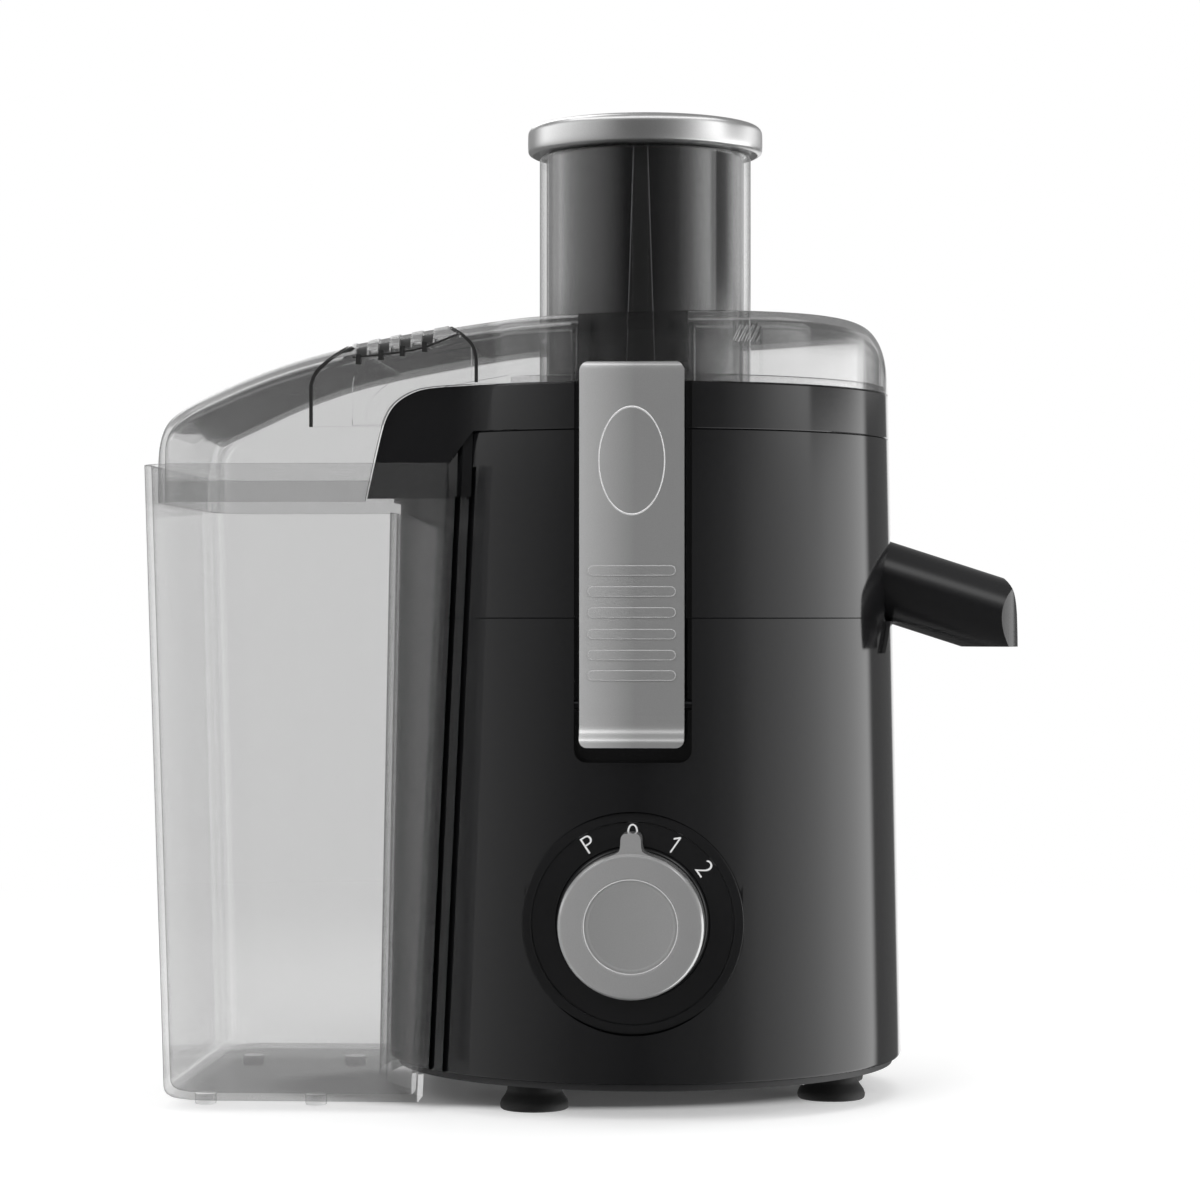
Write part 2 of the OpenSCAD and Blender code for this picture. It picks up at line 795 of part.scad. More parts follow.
module cover_block(inset) {
    intersection() {
        side_slab(-100, 100) offset(delta = -inset)
            polygon(concat([[cover_end_x, 150]], cover_top, [[81, 150]]));
        translate([0, 0, 140]) linear_extrude(140) cover_plan(inset);
    }
}

module cover() at_origin() color([0.35, 0.36, 0.38, 0.5]) {
    gap = 0.4;
    difference() {
        union() {
            difference() {
                cover_block(0);
                cover_block(cover_wall);
            }
            intersection() {
                cover_block(0);
                both_sides() block([-19.4, 19.4], [-100, -channel_y + cover_wall],
                    [rim_z, 300]);
            }
            difference() {
                ring(rim_r - wall - 2.5, rim_r - 0.5, rim_z, rim_z + 2.4);
                block([-120, -30], [-70, 70], [rim_z - 1, rim_z + 4]);
            }
        }
        // everything below the collector's rim and right of the shroud's edge
        side_slab(-100, 100) offset(delta = gap) polygon(concat(
            [[-48, rim_z - gap], [-66, 230.2], [-72, 228.2], [-76.4, 225.2],
             [-79, 221.4], [-80.6, 216.5], [-86, 193]], [[100, 193], [100, rim_z - gap]]));
        side_slab(-100, 100) polygon([[-200, 140], [100, 140], [100, 194], [-200, 194]]);
        // room for the feed tube, and the latch channels
        translate([0, 0, 150]) cylinder(r = tube_r, h = 200);
        both_sides() block([-17.2, 17.2], [-100, -channel_y], [ledge_z, 300]);
        both_sides() block([-17.2, 17.2], [-100, -pivot_y - 0.5], [rim_z - 1, 300]);
    }
}

// The feed tube stands in the cover's round opening and reaches down into the
// basket; a key on its front side guides the pusher
module feed_tube() at_origin() color([0.35, 0.36, 0.38, 0.5]) {
    ring(tube_bore_r, tube_r, grater_z + 9, tube_z);
    intersection() {
        block([-2.6, 2.6], [-tube_bore_r - 1, -tube_bore_r + 1.6], [212, tube_z - 2]);
        cylinder(r = tube_r - 0.5, h = tube_z);
    }
}

module cover_gasket() at_origin() color("#4a4a4a") {
    difference() {
        ring(rim_r - wall - 2.4, rim_r - wall - 0.2, rim_z - 3.5, rim_z);
        block([-120, -30], [-70, 70], [200, 240]);
        both_sides() block([-23, 23], [-100, -70], [200, 240]);
    }
}

module pusher() at_origin() color("#18181a") {
    bottom = rim_z + 2;
    difference() {
        translate([0, 0, bottom]) cylinder(r = pusher_r, h = tube_z + 0.4 - bottom);
        translate([0, 0, bottom + 3]) cylinder(r = pusher_r - 4.6, h = 100);
        block([-3.2, 3.2], [-40, -tube_bore_r + 2.9], [bottom - 1, tube_z + 2]);
    }
}

module pusher_cap() at_origin() color("#a5a5a5") {
    skirt_z = tube_z + 0.4;
    rotate_extrude() difference() {
        polygon([[0, skirt_z], [cap_r - 0.8, skirt_z], [cap_r, skirt_z + 1.6],
            [cap_r, cap_z - 4.6], [cap_r - 1.6, cap_z - 2.6], [cap_r - 6, cap_z - 1.2],
            [cap_r - 16, cap_z - 0.3], [0, cap_z]]);
        translate([0, skirt_z - 1]) square([pusher_r - 5, 4]);
    }
}

// The bin's outside, shrunk by the given amount: three leaning outlines crossed
module bin_solid(inset, top) {
    corner = 16;
    lean_x = (bin_left_low - bin_left_top) / (bin_rim_z - bin_floor_z);
    intersection() {
        side_slab(-90, 90) offset(delta = -inset) polygon([
            [bin_left_low, bin_floor_z], [bin_right_low, bin_floor_z],
            [bin_right_top, bin_rim_z], [bin_right_top + 2, bin_rim_z + 40],
            [bin_left_top - lean_x * 40, bin_rim_z + 40], [bin_left_top, bin_rim_z]]);
        rotate([90, 0, 90]) translate([0, 0, -200]) linear_extrude(200)
            offset(delta = -inset) polygon([[-bin_half_low, bin_floor_z],
                [bin_half_low, bin_floor_z], [bin_half_w, bin_rim_z],
                [bin_half_w, bin_rim_z + 40], [-bin_half_w, bin_rim_z + 40],
                [-bin_half_w, bin_rim_z]]);
        linear_extrude(top) {
            translate([bin_left_top - 0.5 + corner, inset - bin_half_w])
                square([120, 2 * (bin_half_w - inset)]);
            translate([bin_left_top - 0.5 + inset, corner - bin_half_w])
                square([120, 2 * (bin_half_w - corner)]);
            for (side = [-1, 1])
                translate([bin_left_top - 0.5 + corner, side * (bin_half_w - corner)])
                    circle(corner - inset);
        }
    }
}

module pulp_bin() at_origin() color([0.78, 0.78, 0.78, 0.6]) {
    hug = body_r(base_z) - foot_r + bin_gap;
    difference() {
        bin_solid(0, bin_rim_z);
        difference() {
            bin_solid(bin_wall, bin_rim_z + 20);
            body_solid(-10, bin_rim_z + 30, hug + bin_wall);
        }
        body_solid(-10, bin_rim_z + 30, hug);
        side_slab(-66.5, 66.5) polygon(bin_notch);
    }
    for (x = [-140, -104]) for (y = [-48, 48])
        translate([x, y, 0]) cylinder(r = 3.5, h = bin_floor_z + 0.5);
}

// One latch on the front side: plate, hook, lip, pivot lugs and switch cam
module latch() {
    half = latch_w / 2;
    inner_y = latch_y - latch_t;
    difference() {
        union() {
            translate([-half, 0, 0]) rotate([90, 0, 90]) linear_extrude(latch_w)
                polygon([[-latch_y, 126], [-latch_y, latch_top_z - 3],
                    [-latch_y + 1, latch_top_z - 1], [-latch_y + 3, latch_top_z],
                    [-channel_y - 0.6, latch_top_z - 0.6],
                    [-channel_y - 0.6, ledge_z + hook_gap],
                    [-inner_y, ledge_z + hook_gap], [-inner_y, 127],
                    [-inner_y - 0.5, 123], [-inner_y - 3.6, latch_low_z],
                    [-latch_y - 3, latch_low_z], [-latch_y - 0.6, 122]]);
            for (x = [-13, 10]) translate([x, 0, 0]) rotate([90, 0, 90])
                linear_extrude(3) {
                    translate([-pivot_y, pivot_z]) circle(4);
                    translate([-inner_y - 0.5, pivot_z - 4])
                        square([inner_y + 0.5 - pivot_y, 8]);
                }
            block([-3, 3], [-inner_y - 1.6, -pivot_y - 1], [cam_z - 2, cam_z + 4]);
        }
        rod_x(pin_r + run, 20, -pivot_y, pivot_z);
    }
}

module front_latch() at_origin() color("#a3a3a3") latch();

module rear_latch() at_origin() color("#a3a3a3") mirror([0, 1, 0]) latch();

module latch_pins() at_origin() color("#c8c8c8") {
    both_sides() rod_x(pin_r, pin_half, -pivot_y, pivot_z);
}

base_housing();
upper_housing();
bottom_plate();
suction_feet();
bottom_screws();
deck_screws();
cord_gland();
dial_bezel();
knob();
knob_insert();
knob_spindle();
rotary_switch();
switch_terminals();
control_board();
board_capacitors();
internal_leads();
interlock_switch();
interlock_plunger();
stator_core();
field_windings();
upper_bracket();
lower_bracket();
motor_bolts();
motor_mounts();
mount_screws();
upper_bearing();
lower_bearing();
brush_holders();
carbon_brushes();
motor_shaft();
armature_core();
armature_windings();
commutator();
cooling_fan();
shaft_seal();
drive_coupling();
basket_hub();
grater_disc();
grater_rivets();
strainer_cone();
basket_rim();
juice_collector();
juice_spout();
cover();
feed_tube();
cover_gasket();
pusher();
pusher_cap();
pulp_bin();
front_latch();
rear_latch();
latch_pins();
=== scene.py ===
import json
import math

import bpy
from mathutils import Matrix, Vector


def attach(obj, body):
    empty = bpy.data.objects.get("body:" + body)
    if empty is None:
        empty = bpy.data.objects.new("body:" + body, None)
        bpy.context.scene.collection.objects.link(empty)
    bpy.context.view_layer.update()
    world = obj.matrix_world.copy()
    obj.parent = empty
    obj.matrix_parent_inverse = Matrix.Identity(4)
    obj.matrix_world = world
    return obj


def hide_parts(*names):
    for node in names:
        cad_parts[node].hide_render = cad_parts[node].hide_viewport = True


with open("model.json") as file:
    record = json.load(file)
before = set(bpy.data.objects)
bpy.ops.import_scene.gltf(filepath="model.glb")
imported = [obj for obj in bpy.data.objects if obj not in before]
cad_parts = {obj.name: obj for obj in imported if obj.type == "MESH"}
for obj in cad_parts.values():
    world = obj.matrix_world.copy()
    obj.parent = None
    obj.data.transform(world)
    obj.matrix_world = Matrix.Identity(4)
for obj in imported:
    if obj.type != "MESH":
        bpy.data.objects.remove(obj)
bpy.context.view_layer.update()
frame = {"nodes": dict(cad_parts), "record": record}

# ---- Camera ----------------------------------------------------------------
# A long lens at table height, a little to the spout side of the dial. Sizes
# are millimetres about the drive axis, and at() puts them in the frame.
drive_axis = (0.0171, 0.00225)


def at(x, y, z):
    return Vector((drive_axis[0] + x * 0.001, drive_axis[1] + y * 0.001, z * 0.001))


camera_turn = math.radians(3.5)
camera_data = bpy.data.cameras.new("camera")
camera_data.lens = 103.0
camera_data.shift_y = 0.0125
camera_data.clip_end = 20
camera = bpy.data.objects.new("camera", camera_data)
camera.location = at(55.1, -1148.8, 158.0)
camera.rotation_euler = (math.radians(90), 0, camera_turn)
bpy.context.scene.collection.objects.link(camera)
bpy.context.scene.camera = camera

# ---- Lamps -----------------------------------------------------------------
# Large soft boxes: a bright one on the bin side, a dimmer and taller one on
# the spout side, and one overhead. Their own shapes are not mirrored.
bpy.context.scene.view_settings.view_transform = "Standard"


def soft_box(name, place, aim, size, watts):
    data = bpy.data.lights.new(name, "AREA")
    data.shape = "RECTANGLE"
    data.size, data.size_y = size
    data.energy = watts
    lamp = bpy.data.objects.new(name, data)
    lamp.location = place
    lamp.rotation_euler = (Vector(aim) - Vector(place)).to_track_quat("-Z", "Y").to_euler()
    lamp.visible_glossy = False
    bpy.context.scene.collection.objects.link(lamp)


soft_box("key_box", (-0.9, -1.3, 1.1), (0, 0, 0.15), (1.2, 1.2), 16)
soft_box("fill_box", (1.3, -0.9, 0.7), (0, 0, 0.15), (0.9, 1.2), 9)
soft_box("top_box", (0.1, 0.3, 1.6), (0, 0, 0.1), (1.2, 1.2), 10)

# ---- Studio room -----------------------------------------------------------
# What stands round the object: plain soft light for the matt faces, white for
# the eye and through the clear plastics, and for polished faces the bright
# and dark strips that they mirror.


def add_node(tree, kind, inputs=(), **choices):
    """Adds a node. An input is a number to set or a socket to join."""
    node = tree.nodes.new("ShaderNode" + kind)
    for choice, value in choices.items():
        setattr(node, choice, value)
    for socket, value in dict(inputs).items():
        if isinstance(value, bpy.types.NodeSocket):
            tree.links.new(value, node.inputs[socket])
        else:
            node.inputs[socket].default_value = value
    return node


def math_node(tree, operation, *values):
    return add_node(tree, "Math", enumerate(values), operation=operation).outputs[0]


def smooth_rise(tree, value, low, high, bottom=0.0, top=1.0):
    """Goes from bottom to top as the value goes from low to high."""
    return add_node(tree, "MapRange", {
        "Value": value, "From Min": low, "From Max": high, "To Min": bottom, "To Max": top},
        interpolation_type="SMOOTHSTEP").outputs["Result"]


def shader_mix(tree, share, first, second):
    return add_node(tree, "MixShader", {"Fac": share, 1: first, 2: second}).outputs[0]


def ways_of_looking(tree):
    """Whether a ray is a reflection, and whether it comes from the eye, straight
    or through the clear plastics."""
    path = add_node(tree, "LightPath").outputs
    return path["Is Glossy Ray"], math_node(tree, "MAXIMUM", path["Is Camera Ray"],
                                            path["Is Transmission Ray"])


world = bpy.data.worlds.new("studio")
bpy.context.scene.world = world
world.use_nodes = True
room = world.node_tree
room.nodes.clear()
way = add_node(room, "SeparateXYZ", {0: add_node(room, "TexCoord").outputs["Generated"]}).outputs
turn = math_node(room, "ARCTAN2", way["X"], math_node(room, "MULTIPLY", way["Y"], -1.0))
turns = add_node(room, "MapRange", {
    "Value": turn, "From Min": -math.pi, "From Max": math.pi}).outputs["Result"]
brightest = 2.5


def brightness(value, stops):
    """A brightness that follows the value, by stops of (place, brightness)."""
    ramp = add_node(room, "ValToRGB", {"Fac": value})
    elements = ramp.color_ramp.elements
    while len(elements) < len(stops):
        elements.new(0.5)
    for element, (place, bright) in zip(elements, stops):
        element.position = place
    for element, (place, bright) in zip(elements, stops):
        element.color = (bright / brightest, bright / brightest, bright / brightest, 1)
    return ramp.outputs["Color"]


def blend(share, first, second):
    return add_node(room, "Mix", {"Factor": share, "A": first, "B": second},
                    data_type="RGBA").outputs["Result"]


# by turns from the back, for level and for higher views, then a bright ring
# overhead and a box above the back
round_low = brightness(turns, [
    (0.0, 0.1), (0.012, 0.1), (0.03, 0.24), (0.13, 0.22), (0.165, 0.65), (0.178, 0.9), (0.24, 0.75),
    (0.3, 0.62), (0.37, 0.4), (0.42, 0.22), (0.5, 0.1), (0.585, 0.28), (0.62, 0.5), (0.65, 0.95),
    (0.71, 1.6), (0.77, 2.3), (0.85, 2.5), (0.862, 0.3), (0.93, 0.2), (0.95, 0.2), (0.958, 1.3),
    (0.985, 1.3), (0.992, 0.1), (1.0, 0.1)])
round_high = brightness(turns, [
    (0.0, 0.4), (0.13, 0.3), (0.165, 1.2), (0.178, 2.1), (0.23, 1.5), (0.294, 1.1), (0.37, 0.65),
    (0.447, 0.06), (0.544, 0.08), (0.606, 0.25), (0.65, 0.8), (0.694, 2.0), (0.722, 2.5),
    (0.735, 2.5), (0.742, 0.5), (0.778, 0.27), (0.811, 0.58), (0.85, 1.7), (0.9, 1.0),
    (0.93, 0.4), (1.0, 0.4)])
overhead = brightness(way["Z"], [
    (0.0, 0.3), (0.58, 0.35), (0.66, 2.2), (0.78, 2.2), (0.86, 0.4), (1.0, 0.35)])
box_side = brightness(math_node(room, "MULTIPLY_ADD", way["X"], 0.5, 0.5), [
    (0.0, 0.3), (0.2, 0.3), (0.27, 2.5), (0.37, 2.5), (0.44, 0.3), (1.0, 0.3)])
back_box = math_node(room, "MULTIPLY", smooth_rise(room, way["Y"], 0.1, 0.28),
                     smooth_rise(room, way["Z"], 0.24, 0.36))
mirrored = blend(smooth_rise(room, way["Z"], 0.07, 0.1), round_low, round_high)
mirrored = blend(smooth_rise(room, way["Z"], 0.36, 0.5), mirrored, overhead)
mirrored = blend(back_box, mirrored, box_side)
mirror_light, room_light, backdrop = (
    add_node(room, "Background", {"Color": colour, "Strength": strength}).outputs[0]
    for colour, strength in ((mirrored, brightest), ((1, 1, 1, 1), 0.42), ((1, 1, 1, 1), 1.0)))
reflected, seen = ways_of_looking(room)
add_node(room, "OutputWorld", {"Surface": shader_mix(
    room, reflected, shader_mix(room, seen, room_light, backdrop), mirror_light)})

# ---- Table -----------------------------------------------------------------
# A pale smooth table top, white where lit, that keeps the object's shadow. Under
# the body and beside the bin it carries a painted shadow, where its glow for the
# eye is turned down in an oval. The far end is white all over.
bpy.ops.mesh.primitive_plane_add(size=14, location=(0, 0, 0))
table_top = bpy.context.object
table_top.name = "table_top"
table_paint = bpy.data.materials.new("pale_table")
table_paint.use_nodes = True
tree = table_paint.node_tree
tree.nodes.clear()
place = add_node(tree, "TexCoord").outputs["Object"]
away = add_node(tree, "VectorMath", {0: place}, operation="LENGTH").outputs["Value"]
# painted shadow: in an oval under the body and beside the bin the glow for the eye falls from 0.42
# to 0.03
shadow_half_x, shadow_half_y, shadow_left = 0.095, 0.05, 0.0129
under = add_node(tree, "VectorMath", {
    0: place, 1: (1 / shadow_half_x, 1 / shadow_half_y, 0), 2: (shadow_left / shadow_half_x, 0, 0)},
    operation="MULTIPLY_ADD").outputs["Vector"]
reach = add_node(tree, "VectorMath", {0: under}, operation="LENGTH").outputs["Value"]
glow_and_painted_shadow = add_node(tree, "Emission", {
    "Strength": smooth_rise(tree, reach, 0.85, 1.15, 0.03, 0.42)}).outputs[0]
reflected, seen = ways_of_looking(tree)
surface = shader_mix(
    tree, 0.1, add_node(tree, "BsdfDiffuse", {"Color": (0.8, 0.8, 0.8, 1)}).outputs[0],
    add_node(tree, "BsdfGlossy", {"Roughness": 0.12}).outputs[0])
lifted = add_node(tree, "MixShader", {"Fac": seen, 2: glow_and_painted_shadow}).outputs[0]
near = add_node(tree, "AddShader", {0: surface, 1: lifted}).outputs[0]
far_share = math_node(tree, "MULTIPLY", smooth_rise(tree, away, 0.3, 0.9), seen)
sweep = shader_mix(tree, far_share, near, add_node(tree, "Emission").outputs[0])
through = shader_mix(tree, reflected, sweep, add_node(tree, "BsdfTransparent").outputs[0])
add_node(tree, "OutputMaterial", {"Surface": through})
table_top.data.materials.append(table_paint)

# ---- Base housing ----------------------------------------------------------
# The lower half of the body: one glossy black moulding, 2.5 mm thick, tapering
# upwards. It is cut out for the latches, the dial, the spout and the cord, and
# two grooves run up its bin side. The upper housing is screwed on at z 157.
base_low, seam_height, band_low, band_top = 12.0, 157.0, 216.0, 231.0
shell_wall = 2.5
body_turns = 224
dial_height = 62.0
low_well_floor, high_well_floor = 72.0, 77.5
groove_places = (-56.5, -51.5)


def body_radius(z):
    return 85.2 + (81.0 - 85.2) * (z - base_low) / (band_top - base_low)


def new_paint(name):
    """A material, its nodes, its shader's sockets, and the place on the object."""
    paint = bpy.data.materials.new(name)
    paint.use_nodes = True
    tree = paint.node_tree
    place = add_node(tree, "TexCoord").outputs["Object"]
    return paint, tree, tree.nodes["Principled BSDF"].inputs, place


def noise(tree, place, scale, detail):
    return add_node(tree, "TexNoise", {
        "Vector": place, "Scale": scale, "Detail": detail}).outputs["Fac"]


def between(tree, share, low, high):
    return add_node(tree, "MapRange", {
        "Value": share, "To Min": low, "To Max": high}).outputs["Result"]


def two_tones(tree, share, colour, spread):
    """A colour that runs a little darker and a little lighter."""
    return add_node(tree, "Mix", {
        "A": tuple(c * (1 - spread) for c in colour) + (1,),
        "B": tuple(min(c * (1 + spread), 1) for c in colour) + (1,),
        "Factor": share}, data_type="RGBA").outputs["Result"]


def plastic(name, colour, rough, rough_spread=0.05, grain=300.0, bump=0.03, metallic=0.0,
            tone=0.08, painted_shading=None):
    """Moulded plastic: fine grain in the gloss, and a faint cloudy tone. The last
    argument, if given, holds (x, brightness) at two places, and the colour runs
    between them as painted light and shade, lighter on one side."""
    paint, tree, shader, place = new_paint(name)
    shader["Metallic"].default_value = metallic
    fine, broad = noise(tree, place, grain, 3), noise(tree, place, 9, 2)
    tree.links.new(between(tree, broad, max(rough - rough_spread, 0.02), rough + rough_spread),
                   shader["Roughness"])
    tint = two_tones(tree, fine, colour, tone)
    # painted light and shade: the colour is scaled by x, lighter on one side than the other
    if painted_shading:
        painted_shade = {"Value": add_node(tree, "SeparateXYZ", {0: place}).outputs["X"]}
        for end, (x, bright) in zip(("Min", "Max"), painted_shading):
            painted_shade["From " + end] = drive_axis[0] + x * 0.001
            painted_shade["To " + end] = bright
        painted_shade = add_node(tree, "MapRange", painted_shade).outputs["Result"]
        tint = add_node(tree, "VectorMath", {0: tint, "Scale": painted_shade},
                        operation="SCALE").outputs["Vector"]
    tree.links.new(tint, shader["Base Color"])
    relief = add_node(tree, "Bump", {"Strength": bump, "Distance": 0.0002, "Height": fine})
    tree.links.new(relief.outputs["Normal"], shader["Normal"])
    return paint


finishes = {
    "gloss_black": plastic("gloss_black", (0.006, 0.006, 0.0065), 0.09, 0.02, 500, 0.01, tone=0.2)}


def clear_selection():
    if bpy.context.object and bpy.context.object.mode != "OBJECT":
        bpy.ops.object.mode_set(mode="OBJECT")
    bpy.ops.object.select_all(action="DESELECT")


def pick(piece):
    """Selects one piece alone and makes it the active one."""
    clear_selection()
    piece.select_set(True)
    bpy.context.view_layer.objects.active = piece


def open_mesh():
    bpy.ops.object.mode_set(mode="EDIT")
    bpy.ops.mesh.select_all(action="SELECT")


def close_mesh():
    """Turns all faces outwards and leaves edit mode."""
    bpy.ops.mesh.select_all(action="SELECT")
    bpy.ops.mesh.normals_make_consistent(inside=False)
    bpy.ops.object.mode_set(mode="OBJECT")


def settle(piece):
    """Puts a piece's place into its mesh, so that its object sits at the origin."""
    pick(piece)
    bpy.ops.object.transform_apply(location=True, rotation=True, scale=True)
    return piece


def turned(name, outline, steps=body_turns, centre=(0.0, 0.0)):
    """A closed outline of (radius, z) points, spun about an upright axis."""
    clear_selection()
    first = at(centre[0] + outline[0][0], centre[1], outline[0][1])
    bpy.ops.mesh.primitive_plane_add(size=0.001, location=first)
    piece = bpy.context.object
    piece.name = piece.data.name = name
    settle(piece)
    bpy.ops.object.mode_set(mode="EDIT")
    bpy.ops.mesh.select_mode(type="VERT")
    bpy.ops.mesh.select_all(action="SELECT")
    bpy.ops.mesh.merge(type="CENTER")
    if outline[0][0] > 0.001:
        outline = outline + [outline[0]]
    for here, there in zip(outline, outline[1:]):
        step = ((there[0] - here[0]) * 0.001, 0, (there[1] - here[1]) * 0.001)
        bpy.ops.mesh.extrude_vertices_move(TRANSFORM_OT_translate={"value": step})
    bpy.ops.mesh.select_all(action="SELECT")
    bpy.ops.mesh.spin(steps=steps, angle=math.tau, center=at(centre[0], centre[1], 0),
                      axis=(0, 0, 1))
    bpy.ops.mesh.select_all(action="SELECT")
    bpy.ops.mesh.remove_doubles(threshold=0.000005)
    close_mesh()
    return piece


def block(name, x, y, z):
    """A rectangular block between two values each of x, y and z."""
    clear_selection()
    middle = at((x[0] + x[1]) / 2, (y[0] + y[1]) / 2, (z[0] + z[1]) / 2)
    bpy.ops.mesh.primitive_cube_add(size=1, location=middle)
    piece = bpy.context.object
    piece.name = piece.data.name = name
    piece.scale = ((x[1] - x[0]) * 0.001, (y[1] - y[0]) * 0.001, (z[1] - z[0]) * 0.001)
    return settle(piece)


def rod(name, radius, low, high, along, steps=64):
    """A round bar along an axis, between two ends."""
    clear_selection()
    low, high = at(*low), at(*high)
    bpy.ops.mesh.primitive_cylinder_add(vertices=steps, radius=radius * 0.001,
                                        depth=(high - low).length, location=(low + high) / 2)
    piece = bpy.context.object
    piece.name = piece.data.name = name
    piece.rotation_euler = {"x": (0, math.radians(90), 0), "y": (math.radians(90), 0, 0),
                            "z": (0, 0, 0)}[along]
    return settle(piece)


def from_points(name, points, faces):
    mesh = bpy.data.meshes.new(name)
    mesh.from_pydata(points, [], faces)
    piece = bpy.data.objects.new(name, mesh)
    bpy.context.scene.collection.objects.link(piece)
    pick(piece)
    return piece


def extruded(name, points, travel):
    """A flat ring of points, pulled out along a vector."""
    piece = from_points(name, points, [list(range(len(points)))])
    open_mesh()
    bpy.ops.mesh.extrude_region_move(TRANSFORM_OT_translate={"value": travel})
    close_mesh()
    return piece


def side_plate(name, outline, y0, y1):
    """An outline of (x, z) points, extruded from y0 to y1."""
    return extruded(name, [at(x, y0, z) for x, z in outline], (0, (y1 - y0) * 0.001, 0))


def arc(cx, cy, radius, start, end, steps=8):
    """Points along an arc between two angles in degrees."""
    turns = [math.radians(start + (end - start) * k / steps) for k in range(steps + 1)]
    return [(cx + radius * math.cos(a), cy + radius * math.sin(a)) for a in turns]


def facing(side, near, far):
    """Two distances from the middle as a low and a high y, on one side."""
    return (near, far) if side > 0 else (-far, -near)


def bevel_edges(piece, width, segments=2, angle=30):
    rounding = piece.modifiers.new("rounding", "BEVEL")
    rounding.width = width * 0.001
    rounding.segments = segments
    rounding.limit_method = "ANGLE"
    rounding.angle_limit = math.radians(angle)
    rounding.use_clamp_overlap = True
    apply_all(piece)


def apply_all(piece):
    pick(piece)
    for modifier in list(piece.modifiers):
        bpy.ops.object.modifier_apply(modifier=modifier.name)


def carve(piece, cutter, how="DIFFERENCE"):
    """Cuts one mesh with another, or joins them, and puts the tool away."""
    cut = piece.modifiers.new("cut", "BOOLEAN")
    cut.operation = how
    cut.solver = "EXACT"
    cut.object = cutter
    apply_all(piece)
    bpy.data.objects.remove(cutter)


def smooth(piece, angle=30, weighted=True):
    pick(piece)
    bpy.ops.object.shade_smooth_by_angle(angle=math.radians(angle))
    if weighted:
        even = piece.modifiers.new("even", "WEIGHTED_NORMAL")
        even.keep_sharp = True
        apply_all(piece)


def finish_piece(piece, body, slot, *stands_for, paint=None):
    """Paints a piece, from its slot's finish unless told, and rides it on its body."""
    piece.data.materials.clear()
    piece.data.materials.append(paint or finishes[slot])
    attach(piece, body)
    if stands_for:
        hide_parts(*stands_for)


def body_core(name, gap, low, high, steps=body_turns):
    """The body's taper as a solid, larger by the gap, between two heights."""
    return turned(name, [(0, low), (body_radius(low) + gap, low),
                         (body_radius(high) + gap, high), (0, high)], steps)


def well_cutter(floor_y, low, high, side):
    """The space of a latch well, with round lower corners."""
    half, corner = 18.4, 4.0
    outline = [(-half, high), (half, high)]
    outline += arc(half - corner, low + corner, corner, 0, -90)
    outline += arc(corner - half, low + corner, corner, -90, -180)
    return side_plate("well_cutter", outline, *facing(side, floor_y, 100))


def well_box(floor_y, low, high, side):
    """Plastic behind and beside a latch well, kept inside the body's taper."""
    box = block("well_back", (-21.9, 21.9), facing(side, floor_y - shell_wall, 95), (low, high))
    carve(box, body_core("taper", -0.2, low - 1, high + 1, 128), "INTERSECT")
    return box


def arch_cutter():
    """The shallow arch round the spout, 1.6 mm into the body."""
    outline = [(-30, 145.5), (-22, 145.5), (-11.5, 156), (11.5, 156), (22, 145.5), (30, 145.5)]
    outline += arc(0, 153, 30, 0, 180, 30)
    arch = extruded("arch", [at(60, y, z) for y, z in outline], (0.04, 0, 0))
    carve(arch, body_core("core", -1.6, 140, 195))
    return arch


def spout_hole():
    half = 13.8
    hole = rod("hole", half, (60, 0, 168.5), (100, 0, 168.5), "x")
    carve(hole, rod("hole_top", half, (60, 0, 171), (100, 0, 171), "x"), "UNION")
    return hole


def groove_cutter(x, low, high):
    """One groove of the pair beside the bin, leaning with the bin's edge."""
    lean = 10 / 202.5
    outline = [(x - (206 - z) * lean + side, z)
               for z, side in ((low, -1), (low, 1), (high, 1), (high, -1))]
    slab = side_plate("groove", outline, -90, 90)
    carve(slab, body_core("core", -1.4, low - 3, high + 3))
    return slab


base_shell = turned("base_shell", [
    (body_radius(base_low) - 0.9, base_low), (body_radius(base_low) - 0.3, base_low + 0.3)] + [
    (body_radius(z), z) for z in (13, 20, *range(26, 99, 6), 105, seam_height - 0.2)] + [
    (body_radius(seam_height) - 0.2, seam_height),
    (body_radius(seam_height) - shell_wall, seam_height),
    (body_radius(base_low) - shell_wall, base_low)])
for side in (-1, 1):
    carve(base_shell, well_box(low_well_floor, 108, seam_height, side), "UNION")
pad = rod("dial_pad", 37.7, (0, -90, dial_height), (0, -74.5, dial_height), "y", 128)
carve(pad, body_core("taper", -0.2, 13, 156, 128), "INTERSECT")
carve(base_shell, pad, "UNION")
for side in (-1, 1):
    carve(base_shell, well_cutter(low_well_floor, 112, 162, side))
carve(base_shell, rod("dial_recess", 34.8, (0, -100, dial_height), (0, -77, dial_height), "y", 128))
carve(base_shell, rod("gland_hole", 6, (0, 60, 30), (0, 100, 30), "y", 48))
carve(base_shell, spout_hole())
carve(base_shell, arch_cutter())
for x in groove_places:
    carve(base_shell, groove_cutter(x, 8, 160))
bevel_edges(base_shell, 0.35, 2, 35)
smooth(base_shell)
finish_piece(base_shell, "base", "gloss_black", "base_housing")

# ---- Upper housing ---------------------------------------------------------
# The upper half of the body, moulded in the same glossy black, with the deck
# that carries the motor and the open ends of the latch wells.
upper_shell = turned("upper_shell", [
    (8, seam_height), (body_radius(seam_height) - 0.2, seam_height),
    (body_radius(seam_height + 0.2), seam_height + 0.2),
    (body_radius(band_low - 0.2), band_low - 0.2), (body_radius(band_low) - 0.2, band_low),
    (body_radius(band_low) - shell_wall, band_low),
    (body_radius(seam_height + 3) - shell_wall, seam_height + 3), (8, seam_height + 3)])
